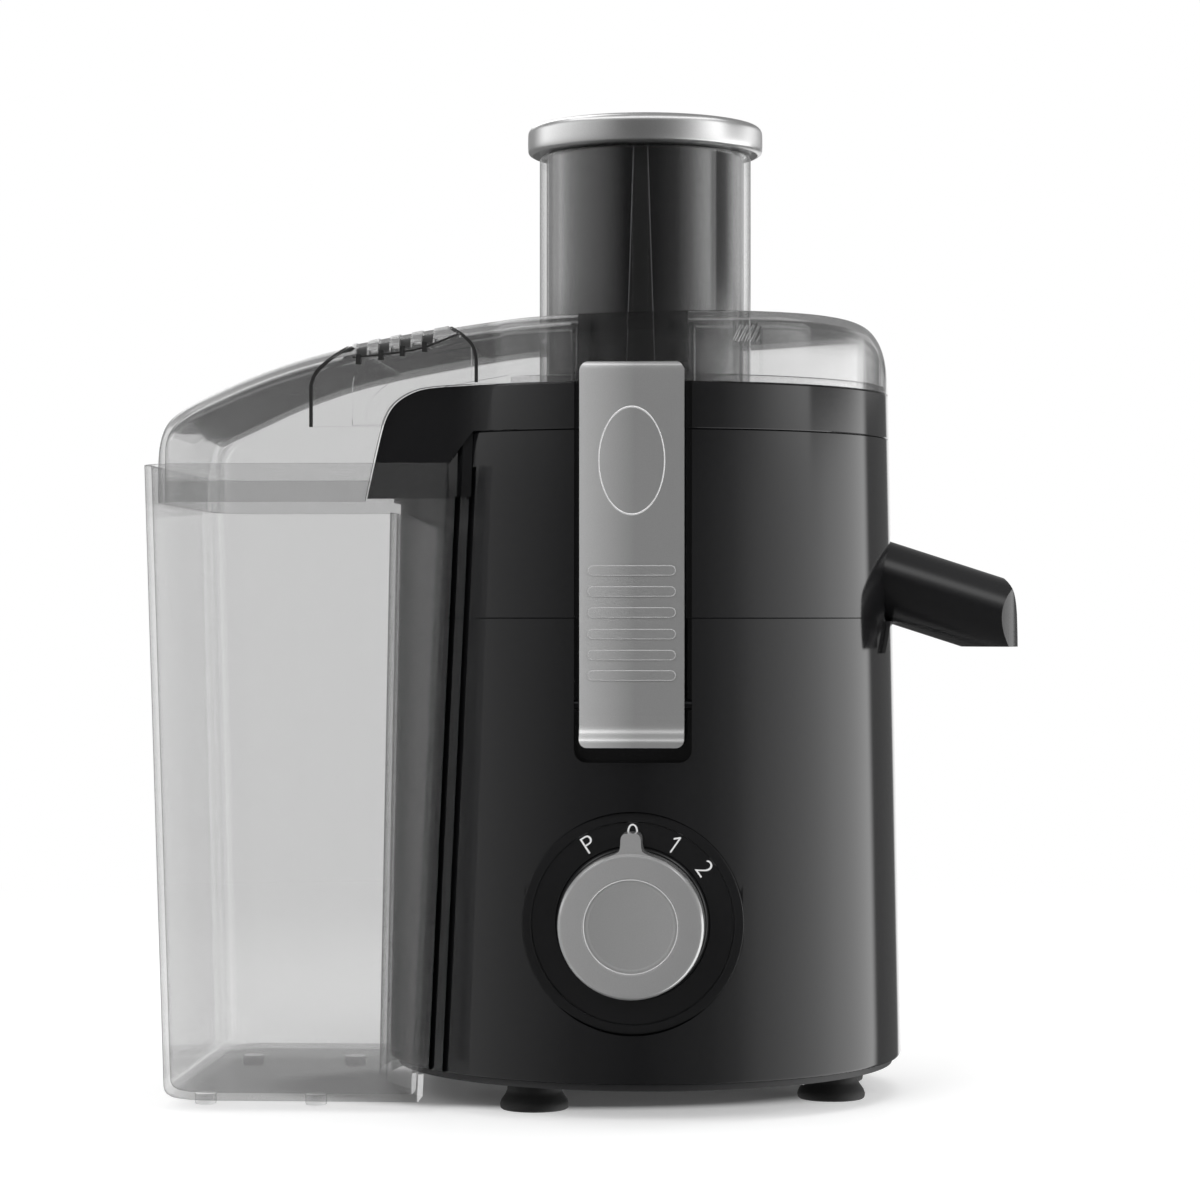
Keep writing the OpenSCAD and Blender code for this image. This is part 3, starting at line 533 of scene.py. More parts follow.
# The wells come last: they leave a mesh that isn't closed, and a cut made in
# such a mesh, such as a groove, fails in some runs.
carve(upper_shell, spout_hole())
carve(upper_shell, arch_cutter())
for x in groove_places:
    carve(upper_shell, groove_cutter(x, 150, 205))
for side in (-1, 1):
    carve(upper_shell, well_box(high_well_floor, seam_height, band_low, side), "UNION")
    carve(upper_shell, well_cutter(high_well_floor, 149, 222, side))
bevel_edges(upper_shell, 0.35, 2, 35)
smooth(upper_shell)
finish_piece(upper_shell, "base", "gloss_black", "upper_housing")

# ---- Other parts' finishes -------------------------------------------------
# Every part inside the body, the drive and the strainer keeps its own solid
# and gets the finish of what it is made of.
for slot, colour, *feel in (
        ("satin_black", (0.008, 0.008, 0.0085), 0.24, 0.04, 700, 0.03, 0.0, 0.2),
        ("dark_plate", (0.02, 0.02, 0.021), 0.5, 0.06, 900, 0.15),
        ("satin_silver", (0.46, 0.46, 0.46), 0.32, 0.03, 2500, 0.03, 0.45),
        ("rubber_black", (0.012, 0.012, 0.012), 0.62, 0.08, 1200, 0.2),
        ("seal_grey", (0.16, 0.16, 0.165), 0.55, 0.06, 800, 0.1),
        ("steel", (0.6, 0.6, 0.62), 0.28, 0.05, 1500, 0.05, 1.0),
        ("lamination", (0.3, 0.31, 0.33), 0.4, 0.08, 1500, 0.1, 1.0),
        ("alloy", (0.6, 0.61, 0.63), 0.45, 0.06, 900, 0.12, 1.0),
        ("copper", (0.7, 0.32, 0.14), 0.3, 0.08, 1500, 0.2, 0.9),
        ("brass_blade", (0.75, 0.58, 0.25), 0.3, 0.05, 900, 0.05, 1.0),
        ("carbon", (0.03, 0.03, 0.03), 0.6, 0.1, 1500, 0.2),
        ("white_nylon", (0.72, 0.71, 0.68), 0.42, 0.06, 800, 0.08),
        ("board_green", (0.02, 0.16, 0.07), 0.35, 0.05, 700, 0.05),
        ("component_blue", (0.05, 0.11, 0.35), 0.4, 0.05, 700, 0.05),
        ("lead_red", (0.35, 0.04, 0.025), 0.45, 0.05, 700, 0.05)):
    finishes[slot] = plastic(slot, colour, *feel)


def clear_plastic(name, tint, skin, rough, veil, veil_power, gloss_edge, gloss_power):
    """Clear moulded plastic: what is behind shows through its tint, and its skin
    shows more the flatter it is looked at."""
    paint, tree, shader, place = new_paint(name)
    shader["IOR"].default_value = 1.6
    shader["Specular IOR Level"].default_value = 0.8
    broad = noise(tree, place, 14, 3)
    sheen = between(tree, broad, max(rough - 0.02, 0.01), rough + 0.02)
    tree.links.new(two_tones(tree, broad, skin, 0.03), shader["Base Color"])
    tree.links.new(sheen, shader["Roughness"])
    lean = add_node(tree, "LayerWeight", {"Blend": 0.5}).outputs["Facing"]
    body = shader_mix(tree, between(tree, math_node(tree, "POWER", lean, veil_power), veil, 0.85),
                      add_node(tree, "BsdfTransparent", {"Color": tint + (1,)}).outputs[0],
                      tree.nodes["Principled BSDF"].outputs[0])
    gloss = between(tree, math_node(tree, "POWER", lean, gloss_power), 0.045, gloss_edge)
    mirror = add_node(tree, "BsdfGlossy", {"Roughness": sheen}).outputs[0]
    tree.links.new(shader_mix(tree, gloss, body, mirror),
                   tree.nodes["Material Output"].inputs["Surface"])
    return paint


finishes["smoke_clear"] = clear_plastic(
    "smoke_clear", (0.94, 0.94, 0.94), (0.03, 0.03, 0.03), 0.04, 0.04, 12.0, 0.97, 3.8)
finishes["frosted_grey"] = clear_plastic(
    "frosted_grey", (0.96, 0.96, 0.96), (0.2, 0.2, 0.2), 0.08, 0.075, 12.0, 0.6, 4.5)
blued_steel = plastic("blued_steel", (0.03, 0.03, 0.032), 0.35, 0.05, 1500, 0.05, 0.9)
for entry in frame["record"]["subparts"]:
    part = frame["nodes"][entry["node"]]
    part.data.materials.clear()
    part.data.materials.append(blued_steel if "latch_pin" in entry["node"]
                               else finishes[entry["material_slot"]])

# ---- Juice collector -------------------------------------------------------
# The black bowl that catches the juice: a band that carries the cover, a bowl
# with a chimney for the drive, and a shroud that leads the pulp to the bin.
# One moulding, set into the top of the upper housing.


def eased(points):
    """Cuts the corners of an open line of points twice, so that it runs smoothly."""
    for _ in range(2):
        cut = [points[0]]
        for (x0, z0), (x1, z1) in zip(points, points[1:]):
            cut += [(0.75 * x0 + 0.25 * x1, 0.75 * z0 + 0.25 * z1),
                    (0.25 * x0 + 0.75 * x1, 0.25 * z0 + 0.75 * z1)]
        points = cut + [points[-1]]
    return points


shroud_edge = eased([(-48, 231), (-66, 230.2), (-72, 228.2), (-76.4, 225.2), (-79, 221.4),
                     (-80.6, 216.5), (-83.0, 206), (-85.4, 195)])
shroud_edge[0] = (-40, 230.95)
shroud_side = shroud_edge + [(-59.6, 195), (-59.6, 206), (-51.4, 216.4), (-40, 216.4)]
collector = turned("collector", [
    (73.1, 216.2), (body_radius(band_low) - 0.25, 216.2), (body_radius(216.5), 216.5),
    (body_radius(230.4), 230.4), (body_radius(band_top) - 0.5, band_top),
    (body_radius(band_top) - shell_wall, band_top), (body_radius(219) - shell_wall, 219),
    (73.1, 219)])
carve(collector, block("pulp_gap", (-120, -30), (-61.6, 61.6), (219.1, 240)))
cheek_y, band_radius, bend = 64, 81, 25.0
bend_x = -math.sqrt((band_radius + bend) ** 2 - (cheek_y + bend) ** 2)
for side in (-1, 1):
    # seen from above, the cheek bends into the round band with no edge
    plan = [(-97, 61.5), (-97, cheek_y), (bend_x, cheek_y)]
    for k in range(1, 13):
        a = math.asin(-bend_x / (band_radius + bend)) * k / 12
        plan.append((bend_x + bend * math.sin(a), cheek_y + bend - bend * math.cos(a)))
    plan += [(plan[-1][0] + 1.5, plan[-1][1] - 2.6), (-46, 61.5)]
    cheek = extruded("cheek", [at(x, side * y, 190) for x, y in plan], (0, 0, 0.045))
    carve(cheek, side_plate("shroud_side", shroud_side, -90, 90), "INTERSECT")
    carve(cheek, body_core("body", 0.3, 150, band_low))
    carve(collector, cheek, "UNION")
curtain = turned("curtain", [
    (body_radius(195.5) + 0.3, 195.5), (body_radius(195.5) + 2.3, 195.5),
    (body_radius(218.6) + 2.3, 218.6), (body_radius(218.6) - 7.9, 218.6),
    (body_radius(216.2) - 7.9, 216.2), (body_radius(216.2) + 0.3, 216.2)], 200)
carve(curtain, block("side", (-120, -30), (-63.1, 62.9), (190, 225)), "INTERSECT")
carve(collector, curtain, "UNION")
bowl = turned("bowl", [
    (15, 163), (70, 163), (72.8, 164.2), (74, 167), (74, 218.2), (73.4, 218.8), (72.6, 218.8),
    (72, 218.2), (72, 168), (71, 166.2), (69, 165.2), (17, 165.2), (17, 180.5), (16.5, 181),
    (15.5, 181), (15, 180.5)], 160)
carve(bowl, rod("stub", 9.7, (72.9, 0.02, 169.3), (86, 0.02, 169.3), "x", 60), "UNION")
carve(bowl, rod("stub_bore", 8, (66, 0.01, 169.2), (96, 0.01, 169.2), "x", 60))
carve(collector, bowl, "UNION")
for side in (-1, 1):
    back = block("well_back", (-21.4, 21.4), facing(side, 70, 77.6), (216.5, 230.8))
    carve(back, turned("clear", [(0, 200), (73.2, 200), (73.2, 260), (0, 260)], 96))
    carve(collector, back, "UNION")
    carve(collector, well_cutter(high_well_floor, 208, 236, side))
bevel_edges(collector, 0.4, 2, 35)
smooth(collector)
finish_piece(collector, "base", "gloss_black", "juice_collector")

# ---- Cover -----------------------------------------------------------------
# One moulding of smoky clear plastic, 2.2 mm thick, that covers the strainer
# and leads over the bin. A grip strap crosses its bin side, and a channel on
# each long side takes a latch.
cover_top = eased([
    (-154.8, 188), (-154.8, 204), (-154.5, 210), (-153.6, 215.5), (-150.8, 219.8),
    (-145.8, 223), (-137.3, 227.2), (-125.7, 232.6), (-110.3, 238.3), (-94.9, 242.4),
    (-75.6, 246.2), (-52.7, 250.1), (-37, 252), (17.6, 253.5), (52, 254), (64.8, 253.6),
    (71.4, 252.6), (75.4, 250.8), (78.6, 247.4), (80.4, 242.5), (81, 235), (81, 220)])
cover_wall, cover_half, cover_corner = 2.2, 68.0, 18.0
cover_end = cover_top[0][0] + cover_corner
edge_round = 5.0


def cover_height(x, inset):
    x = min(max(x, cover_top[0][0] + inset), cover_top[-1][0] - inset)
    for (x0, z0), (x1, z1) in zip(cover_top, cover_top[1:]):
        if x0 <= x <= x1 and x1 > x0:
            return z0 + (z1 - z0) * (x - x0) / (x1 - x0) - inset
    return cover_top[-1][1]


def cover_plan(inset):
    """Points round the cover, seen from above, from the spout end."""
    radius = band_radius - inset
    waist = math.acos(-math.sqrt(radius ** 2 - (cover_half - inset) ** 2) / radius)
    points = [(radius * math.cos(waist * k / 60), radius * math.sin(waist * k / 60))
              for k in range(61)]
    start = points[-1][0]
    points += [(start + (cover_end - start) * k / 30, cover_half - inset) for k in range(1, 31)]
    points += arc(cover_end, cover_half - cover_corner, cover_corner - inset, 90, 180, 18)[1:]
    end = points[-1][0]
    points += [(end, (cover_half - cover_corner) * (1 - k / 8)) for k in range(1, 9)]
    return points + [(x, -y) for x, y in reversed(points[1:-1])]


def cover_block(name, inset, low=190.0):
    """The cover's outside as a solid, shrunk by the inset."""
    plan = cover_plan(inset)
    depths = [0, 0.15, 0.4, 0.8, 1.4, 2.2, 3.2, 4.2]
    shares = [0, 0.04, 0.1, 0.18, 0.28, 0.4, 0.55, 0.7, 0.85, 0.97]
    rings = [[at(x, y, low) for x, y in plan]]
    for step in depths + shares:
        ring = []
        for x, y in plan:
            spine = Vector((min(max(x, cover_end), 0.0), 0.0))
            out = Vector((x, y)) - spine
            depth = step if len(rings) <= len(depths) else (
                edge_round + (out.length - edge_round) * step)
            here = spine + out * (1 - depth / out.length)
            drop = 0.0
            if depth < edge_round:
                drop = edge_round - math.sqrt(edge_round ** 2 - (edge_round - depth) ** 2)
            z = cover_height(here.x, inset) - drop
            ring.append(at(here.x, here.y, max(z, low + 0.4 + 0.05 * depth)))
        rings.append(ring)
    count = len(plan)
    points = [point for ring in rings for point in ring]
    faces = [(r * count + k, r * count + (k + 1) % count, (r + 1) * count + (k + 1) % count,
              (r + 1) * count + k) for r in range(len(rings) - 1) for k in range(count)]
    faces.append(list(reversed(range(count))))
    last = (len(rings) - 1) * count
    for k in range(count // 2):
        face = (k, k + 1, count - k - 1, (count - k) % count)
        faces.append([last + point for point in dict.fromkeys(face)])
    piece = from_points(name, points, faces)
    open_mesh()
    bpy.ops.mesh.remove_doubles(threshold=0.00001)
    bpy.ops.mesh.normals_make_consistent(inside=False)
    bpy.ops.mesh.quads_convert_to_tris()
    bpy.ops.object.mode_set(mode="OBJECT")
    return piece


cover = cover_block("cover_shell", 0)
carve(cover, cover_block("inside", cover_wall, 189.0))
for side in (-1, 1):
    channel = block("channel", (-19.4, 19.4), facing(side, 72.3, 90), (231, 300))
    carve(channel, cover_block("keep", 0), "INTERSECT")
    carve(cover, channel, "UNION")
# the grip strap stands 0.8 mm proud across the bin side
strap_left = [(-102.8, 217.6), (-102.8, 218)] + eased([
    (-102.8, 231), (-101.6, 234.6), (-98, 238.2), (-94.5, 240.8), (-90.5, 243.6)])
strap_right = eased([(-60, 250), (-57, 248.2), (-53.7, 246), (-51, 243), (-50.2, 239)]) + [
    (-50.2, 217.6)]
strap = cover_block("strap", -0.8)
carve(strap, side_plate("strap_side", strap_left + [(-90.5, 270), (-60, 270)] + strap_right,
                        -90, 90), "INTERSECT")
carve(strap, cover_block("inside", 1.1))
carve(cover, strap, "UNION")
# a thicker pocket wall inside the strap, each side of the pulp's way
pocket = eased([(-90, 218.3), (-90, 232.5), (-88.5, 235.5), (-82, 237.6), (-66, 240.6),
                (-52, 243)]) + [(-52, 218.3)]
for side in (-1, 1):
    carve(cover, side_plate("pocket", pocket, *facing(side, 64.3, 65.95)), "UNION")
grip_places = (-86.7, -79.6, -72.8, -65.7)
for x in grip_places:
    top = cover_height(x, 0)
    carve(cover, block("notch", (x - 1.8, x + 1.8), (-70.5, -60.5), (top - 3.8, top + 4)))
for side in (-1, 1):
    carve(cover, block("latch_path", (-17.2, 17.2), facing(side, 74.5, 100), (234.4, 300)))
for x in (-18.4, 18.4):
    for y in (-78.3, 78.3):
        carve(cover, rod("rail", 1.15, (x, y, 228), (x, y, 247.5), "z", 24), "UNION")
# a stop tab and two ribs inside the spout end of the front wall
for x, y in ((30.7, -72.4), (39.8, -67.8)):
    carve(cover, block("rib", (x - 0.5, x + 0.5), (y - 1.5, y + 1.3), (228, 249)), "UNION")
tab = block("tab", (31.0, 39.6), (-72.3, -66), (244, 249.4))
for k in range(5):
    start = 30.2 + 1.9 * k
    carve(tab, side_plate("slot", [(start, 243), (start + 0.8, 243), (start + 4.3, 250),
                                   (start + 3.5, 250)], -74, -65.2))
carve(cover, tab, "UNION")
below = [(-48, 231)] + shroud_edge[1:]
below = [(x - 0.15, z + 0.12 if x > -80 else z) for x, z in below]
carve(cover, side_plate("below", [(110, 231)] + below + [(-86, 180), (110, 180)], -100, 100))
carve(cover, block("skirt_end", (-200, 110), (-100, 100), (170, 194)))
carve(cover, rod("tube_hole", 35.3, (0, 0, 200), (0, 0, 300), "z", 128))
bevel_edges(cover, 0.35, 2, 40)
smooth(cover, 35)
finish_piece(cover, "base", "smoke_clear", "cover")

# ---- Grip rubber -----------------------------------------------------------
# Black pieces on the cover's strap, which make its edges and notches dark: a
# thin band let in along each edge and under the notches, and a pad pressed into
# each of the four finger notches.


def seam_band(name, line, width):
    """An open line of (x, z) points as a band of the given width, let into the cover."""
    left, right = [], []
    for k, (x, z) in enumerate(line):
        (x0, z0), (x1, z1) = line[max(k - 1, 0)], line[min(k + 1, len(line) - 1)]
        run = math.hypot(x1 - x0, z1 - z0)
        nx, nz = (z0 - z1) / run * width / 2, (x1 - x0) / run * width / 2
        left.append((x + nx, z + nz))
        right.append((x - nx, z - nz))
    band = side_plate(name, left + right[::-1], -90, -57)
    carve(band, cover_block("outer", -0.5), "INTERSECT")
    carve(band, cover_block("inner", 0.7))
    return band


under_grip = eased([(-89.5, 239.6), (-78, 240.6), (-67.7, 242.2), (-62, 244.4), (-56, 247)])
for name, line, width in (("grip_seam_left", strap_left, 1.0),
                          ("grip_seam_right", strap_right[:-1] + [(-50.2, 231.6)], 1.0),
                          ("grip_seam_under", under_grip, 0.5)):
    seam = seam_band(name, line, width)
    smooth(seam)
    finish_piece(seam, "base", "rubber_black")
for count, x in enumerate(grip_places):
    top = cover_height(x, 0)
    pad = block("grip_pad_%d" % (count + 1), (x - 1.7, x + 1.7), (-69, -60.7), (top - 3.7, top + 3))
    carve(pad, cover_block("keep", 0.7), "INTERSECT")
    carve(pad, block("leg", (x - 1.69, x - 0.2), (-68.6, -66.5), (top - 6.6, top - 3.5)), "UNION")
    bevel_edges(pad, 0.2, 2, 40)
    smooth(pad)
    finish_piece(pad, "base", "rubber_black")

# ---- Cover flange ----------------------------------------------------------
# The foot of the cover, in the same clear plastic: a ring that drops inside
# the collector's band and centres the cover. It is open towards the bin.
flange = turned("cover_flange", [(76, 231.1), (80.2, 231.1), (80.2, 233), (79.8, 233.4),
                                 (76.4, 233.4), (76, 233)], 160)
carve(flange, block("gap", (-120, -30), (-70, 70), (228, 240)))
smooth(flange)
finish_piece(flange, "base", "smoke_clear")

# ---- Feed tube -------------------------------------------------------------
# The clear tube that the food goes down, moulded with the cover; its rounded
# lip guides the pusher in, and a key inside its front keeps the pusher square.
tube = turned("feed_tube_clear", [
    (33, 199.6), (33.6, 199), (34.7, 199), (35.3, 199.6), (35.3, 310.2), (35.0, 310.8),
    (34.4, 311), (33.8, 311), (33.2, 310.6), (33, 310)], 128)
key = block("key", (-2.6, 2.6), (-34, -31.4), (212, 309))
bevel_edges(key, 0.5, 2)
carve(tube, key, "UNION")
smooth(tube)
finish_piece(tube, "base", "smoke_clear", "feed_tube")

# ---- Pulp bin --------------------------------------------------------------
# A tall bin of light grey frosted plastic that hangs against the body and
# catches the pulp. Its inner wall follows the body, and its rim is stepped to
# take the cover's skirt. One moulding, lifted off by tilting it outwards.
bin_rim, bin_low, bin_wall, body_gap = 206.0, 3.5, 2.2, 1.3
bin_outer, bin_inner, bin_half = -158.2, -59.0, 72.0


def round_edges(piece, width, steps, chosen):
    """Bevels the edges that a rule on their two ends chooses."""
    pick(piece)
    bpy.ops.object.mode_set(mode="EDIT")
    bpy.ops.mesh.select_mode(type="EDGE")
    bpy.ops.mesh.select_all(action="DESELECT")
    bpy.ops.object.mode_set(mode="OBJECT")
    for edge in piece.data.edges:
        edge.select = chosen(*(piece.data.vertices[i].co for i in edge.vertices))
    bpy.ops.object.mode_set(mode="EDIT")
    bpy.ops.mesh.bevel(offset=width * 0.001, segments=steps, affect="EDGES")
    bpy.ops.object.mode_set(mode="OBJECT")


def bin_block(name, inset, top, low=bin_low):
    """The bin's outside as a leaning block with round outer corners."""
    piece = block(name, (bin_outer, bin_inner), (-bin_half, bin_half), (low + inset, top))
    for vertex in piece.data.vertices:
        x = (vertex.co.x - drive_axis[0]) * 1000
        z = vertex.co.z * 1000
        down = (bin_rim - z) / (bin_rim - bin_low)
        left, right = bin_outer + 5.7 * down + inset, bin_inner - 10 * down - inset
        deep = bin_half - 3 * down - inset
        side = -1 if vertex.co.y < drive_axis[1] else 1
        vertex.co = at(left if x < -110 else right, side * deep, z)
    outer, inner, foot = at(-110, 0, 0).x, at(-80, 0, 0).x, (low + inset + 0.5) * 0.001
    round_edges(piece, 16 - inset, 10, lambda a, b: abs(a.z - b.z) > 0.05 and a.x < outer)
    round_edges(piece, 3, 4, lambda a, b: max(a.z, b.z) < foot and min(a.x, b.x) < inner and (
        abs(a.x - b.x) > 0.0001 or a.x < outer))
    return piece


bin_shell = bin_block("bin_shell", 0, bin_rim)
inside = bin_block("inside", bin_wall, bin_rim + 20)
carve(inside, body_core("wall", body_gap + bin_wall, -10, 250))
carve(bin_shell, inside)
carve(bin_shell, body_core("wall", body_gap, -10, 250))
bin_notch = [(-120, 193.3), (-90, 193.3), (-74, 190), (-56, 182.5), (-30, 182.5),
             (-30, 260), (-120, 260)]
carve(bin_shell, side_plate("notch", bin_notch, -66.5, 66.5))
for x in (-140, -104):
    for y in (-48, 48):
        pad = turned("pad", [(0, 0), (3.1, 0), (3.5, 0.4), (3.5, 4.2), (0, 4.2)], 32, (x, y))
        carve(bin_shell, pad, "UNION")
bevel_edges(bin_shell, 0.4, 2, 40)
smooth(bin_shell)
finish_piece(bin_shell, "bin", "frosted_grey", "pulp_bin")

# ---- Latches ---------------------------------------------------------------
# Two levers in satin silver paint, one each side, that hook over the cover.
# Each has a thin oval bead, six raised finger bars each with a thin outline,
# and a lifting lip, and swings on a steel pin through two lugs behind it. The
# bead and outlines are painted almost white as highlights, and the lever's
# silver carries painted light and shade, lighter towards the bin.
bar_heights = (171.8, 165.3, 158.8, 152.1, 145.6, 139.3)
latch_half, lever_face, pin_from_axis, pin_z = 16.25, 87.5, 78, 130


def latch_side():
    hook = eased([(-87.5, 228), (-87.5, 235.6), (-86.0, 236.8), (-80, 236.8), (-75.1, 236.2)])
    lip = eased([(-85, 126), (-85.0, 121.5), (-87.4, 118.6), (-88.4, 116.9)])
    outer = eased([(-90.4, 116.9), (-90.2, 119.4), (-87.9, 122), (-87.5, 127)])
    return outer + hook + [(-75.1, 234.8), (-84.5, 234.8), (-84.5, 128)] + lip


# painted light and shade: the silver is 1.4 times as light at x -16 and 0.74 from x 1, lighter
# towards the bin
latch_paint = plastic("latch_silver", (0.46, 0.46, 0.46), 0.3, 0.03, 2500, 0.03, 0.5,
                      painted_shading=((-16, 1.4), (1, 0.74)))
# painted highlight: nearly white silver for thin pieces that stand in for the light caught by edges
painted_highlight = plastic("painted_highlight", (0.85, 0.85, 0.85), 0.25, 0.03, 2500, 0.02, 0.5)


def bar_outline(z, reach):
    """A finger bar with round ends, its edge at the reach from its middle line."""
    return arc(12.1, z, reach, -90, 90) + arc(-12.1, z, reach, 90, 270)


def thin_ring(name, radius, place, stretch=(1, 1, 1)):
    """A ring of 0.4 mm wire that faces the front."""
    clear_selection()
    bpy.ops.mesh.primitive_torus_add(major_radius=radius * 0.001, minor_radius=0.0002,
                                     major_segments=96, minor_segments=12, location=at(*place),
                                     rotation=(math.radians(90), 0, 0))
    ring = bpy.context.object
    ring.name = ring.data.name = name
    ring.scale = stretch
    settle(ring)
    smooth(ring, weighted=False)
    return ring


for side, name in ((-1, "front_latch"), (1, "rear_latch")):
    latch = extruded(name + "_lever", [at(-latch_half, -side * y, z) for y, z in latch_side()],
                     (latch_half * 0.002, 0, 0))
    # round the four corners, seen from the front
    corners = []
    for x, z, radius, start in ((13.05, 233.6, 3.2, 0), (-13.05, 233.6, 3.2, 90),
                                (-13.75, 119.4, 2.5, 180), (13.75, 119.4, 2.5, 270)):
        corners += arc(x, z, radius, start, start + 90)
    carve(latch, side_plate("corners", corners, *facing(side, 60, 100)), "INTERSECT")
    # the thin oval bead, painted almost white as a highlight
    oval = thin_ring(name + "_oval", 10, (0, side * (lever_face - 0.05), 205.8), (1.02, 1.67, 1))
    finish_piece(oval, name, "satin_silver", paint=painted_highlight)
    outlines = None
    for z in bar_heights:
        carve(latch, side_plate("bar", bar_outline(z, 1.35), *facing(side, 87, lever_face + 0.55)),
              "UNION")
        # a thin outline round the bar, painted almost white as a highlight
        ring = side_plate(name + "_bars", bar_outline(z, 1.6), *facing(side, 87, lever_face + 0.4))
        carve(ring, side_plate("middle", bar_outline(z, 1.3), *facing(side, 80, 90)))
        if outlines:
            carve(outlines, ring, "UNION")
        else:
            outlines = ring
    smooth(outlines)
    finish_piece(outlines, name, "satin_silver", paint=painted_highlight)
    pin_y = side * pin_from_axis
    for x in (-13, 10):
        lug = rod("lug", 4, (x, pin_y, pin_z), (x + 3, pin_y, pin_z), "x", 48)
        carve(lug, block("arm", (x + 0.01, x + 2.99), facing(side, pin_from_axis, 85.2),
                         (126.2, 133.8)),
              "UNION")
        carve(latch, lug, "UNION")
    carve(latch, block("cam", (-3, 3), facing(side, 79, 86), (118.4, 124)), "UNION")
    carve(latch, rod("pin_bore", 1.6, (-20, pin_y, pin_z), (20, pin_y, pin_z), "x", 48))
    bevel_edges(latch, 0.55, 4, 35)
    smooth(latch)
    finish_piece(latch, name, "satin_silver", name, paint=latch_paint)

# ---- Dial bezel ------------------------------------------------------------
# A satin black ring set into the base round the switch spindle, with a flat
# face for the marks and a fine groove round the knob.


def turned_forward(name, outline):
    """An outline of (radius, distance to the front), spun about the dial's axis."""
    piece = turned(name, outline, 128)
    forward = Matrix.Translation(at(0, 0, dial_height)) @ Matrix.Rotation(math.radians(90), 4, "X")
    piece.data.transform(forward @ Matrix.Translation(-at(0, 0, 0)))
    return piece


bezel = turned_forward("dial_bezel_ring", [
    (3.6, 77.1), (34.4, 77.1), (34.7, 77.4), (34.7, 81.7), (34.5, 82.1), (34.1, 82.2),
    (32.2, 82.2), (31.8, 82.1), (31.5, 81.8), (31.3, 81.4), (31.0, 81.3), (24.2, 81.3),
    (23.8, 81.0), (23.4, 81.0), (23.0, 81.3), (3.6, 81.3)])
smooth(bezel)
finish_piece(bezel, "base", "satin_black", "dial_bezel")

# ---- Knob ------------------------------------------------------------------
# Satin silver plastic with a pointer, pushed on the switch spindle, a little
# lighter towards the bin as painted light. A sunk disc, with a thin ring round
# it, closes its face; the disc is a little lighter towards the spout as painted
# light, and the ring is painted almost white as a highlight.
knob = turned_forward("knob_cap", [
    (3, 82.5), (22.3, 82.5), (22.7, 82.9), (22.7, 93.2), (22.5, 94.0), (21.9, 94.7),
    (21.0, 95), (15.3, 95), (14.9, 94.9), (14.65, 94.5), (14.6, 94.0), (14.6, 93.6), (3, 93.6)])
pointer = eased([(7.5, 19), (7.2, 21.4), (4.6, 22.4), (3.2, 23.4), (3.1, 28.6), (0, 28.7)])
pointer += [(-x, up) for x, up in pointer[-2::-1]]
pointer = [(x, dial_height + up) for x, up in pointer]
carve(knob, side_plate("pointer", pointer, -94, -82.6), "UNION")
bevel_edges(knob, 0.35, 2, 40)
smooth(knob)
# painted light: the knob's silver is 1.12 times as light at x -20 as at x 20
knob_paint = plastic("knob_silver", (0.44, 0.44, 0.44), 0.2, 0.02, 2500, 0.02, 0.55,
                     painted_shading=((-20, 1.12), (20, 1.0)))
finish_piece(knob, "knob", "satin_silver", "knob", paint=knob_paint)
disc = turned_forward("knob_disc", [
    (0, 93.65), (14.5, 93.65), (14.5, 94.3), (14.3, 94.55), (13.9, 94.6), (13.3, 94.5),
    (12.9, 94.3), (0, 94.3)])
smooth(disc)
# painted light and shade: the disc's silver runs from 0.94 at x -14 to 1.08 at x 14
disc_paint = plastic("disc_silver", (0.4, 0.4, 0.4), 0.3, 0.03, 2500, 0.03, 0.5,
                     painted_shading=((-14, 0.94), (14, 1.08)))
finish_piece(disc, "knob", "satin_silver", "knob_insert", paint=disc_paint)
# a thin ring round the disc, painted almost white as a highlight
ring = thin_ring("knob_ring", 14.55, (0, -94.75, dial_height))
finish_piece(ring, "knob", "satin_silver", paint=painted_highlight)

# ---- Dial marks ------------------------------------------------------------
# Pulse, off and two speeds, printed in white on the bezel. Each mark leans a
# little more than its place round the dial.
mark_round, bezel_face = 27.9, 81.3
white_print = plastic("white_print", (0.8, 0.8, 0.8), 0.45, 0.05, 1500, 0.05, tone=0.03)


def print_on_bezel(mark, round_deg, lean_deg):
    """Lays a mark that is drawn upright about the origin on the bezel's face."""
    a = math.radians(round_deg)
    place = Matrix.Translation(at(mark_round * math.sin(a), -bezel_face - 0.04,
                                  dial_height + mark_round * math.cos(a)))
    mark.data.transform(place @ Matrix.Rotation(math.radians(lean_deg), 4, "Y"))
    finish_piece(mark, "base", "satin_black", paint=white_print)


for word, round_deg, lean_deg, name in (("P", -29.5, -33, "mark_pulse"), ("0", 0, 0, "mark_off"),
                                        ("2", 52.5, 55, "mark_two")):
    text = bpy.data.curves.new(name, "FONT")
    text.body = word
    text.size = 0.0082
    text.offset = -0.00011
    text.align_x = "CENTER"
    text.align_y = "CENTER"
    text.extrude = 0.00004
    mark = bpy.data.objects.new(name, text)
    bpy.context.scene.collection.objects.link(mark)
    pick(mark)
    bpy.ops.object.convert(target="MESH")
    mark.data.transform(Matrix.Rotation(math.radians(90), 4, "X"))
    print_on_bezel(mark, round_deg, lean_deg)
mark = side_plate("mark_one", [(0.55, 2.85), (0.1, 2.85), (-1.4, 1.4), (-1.1, 1.0), (0.05, 2.1),
                               (0.05, -2.85), (0.55, -2.85)], -0.04, 0.04)
mark.data.transform(Matrix.Translation(-at(0, 0, 0)))
print_on_bezel(mark, 28, 35)

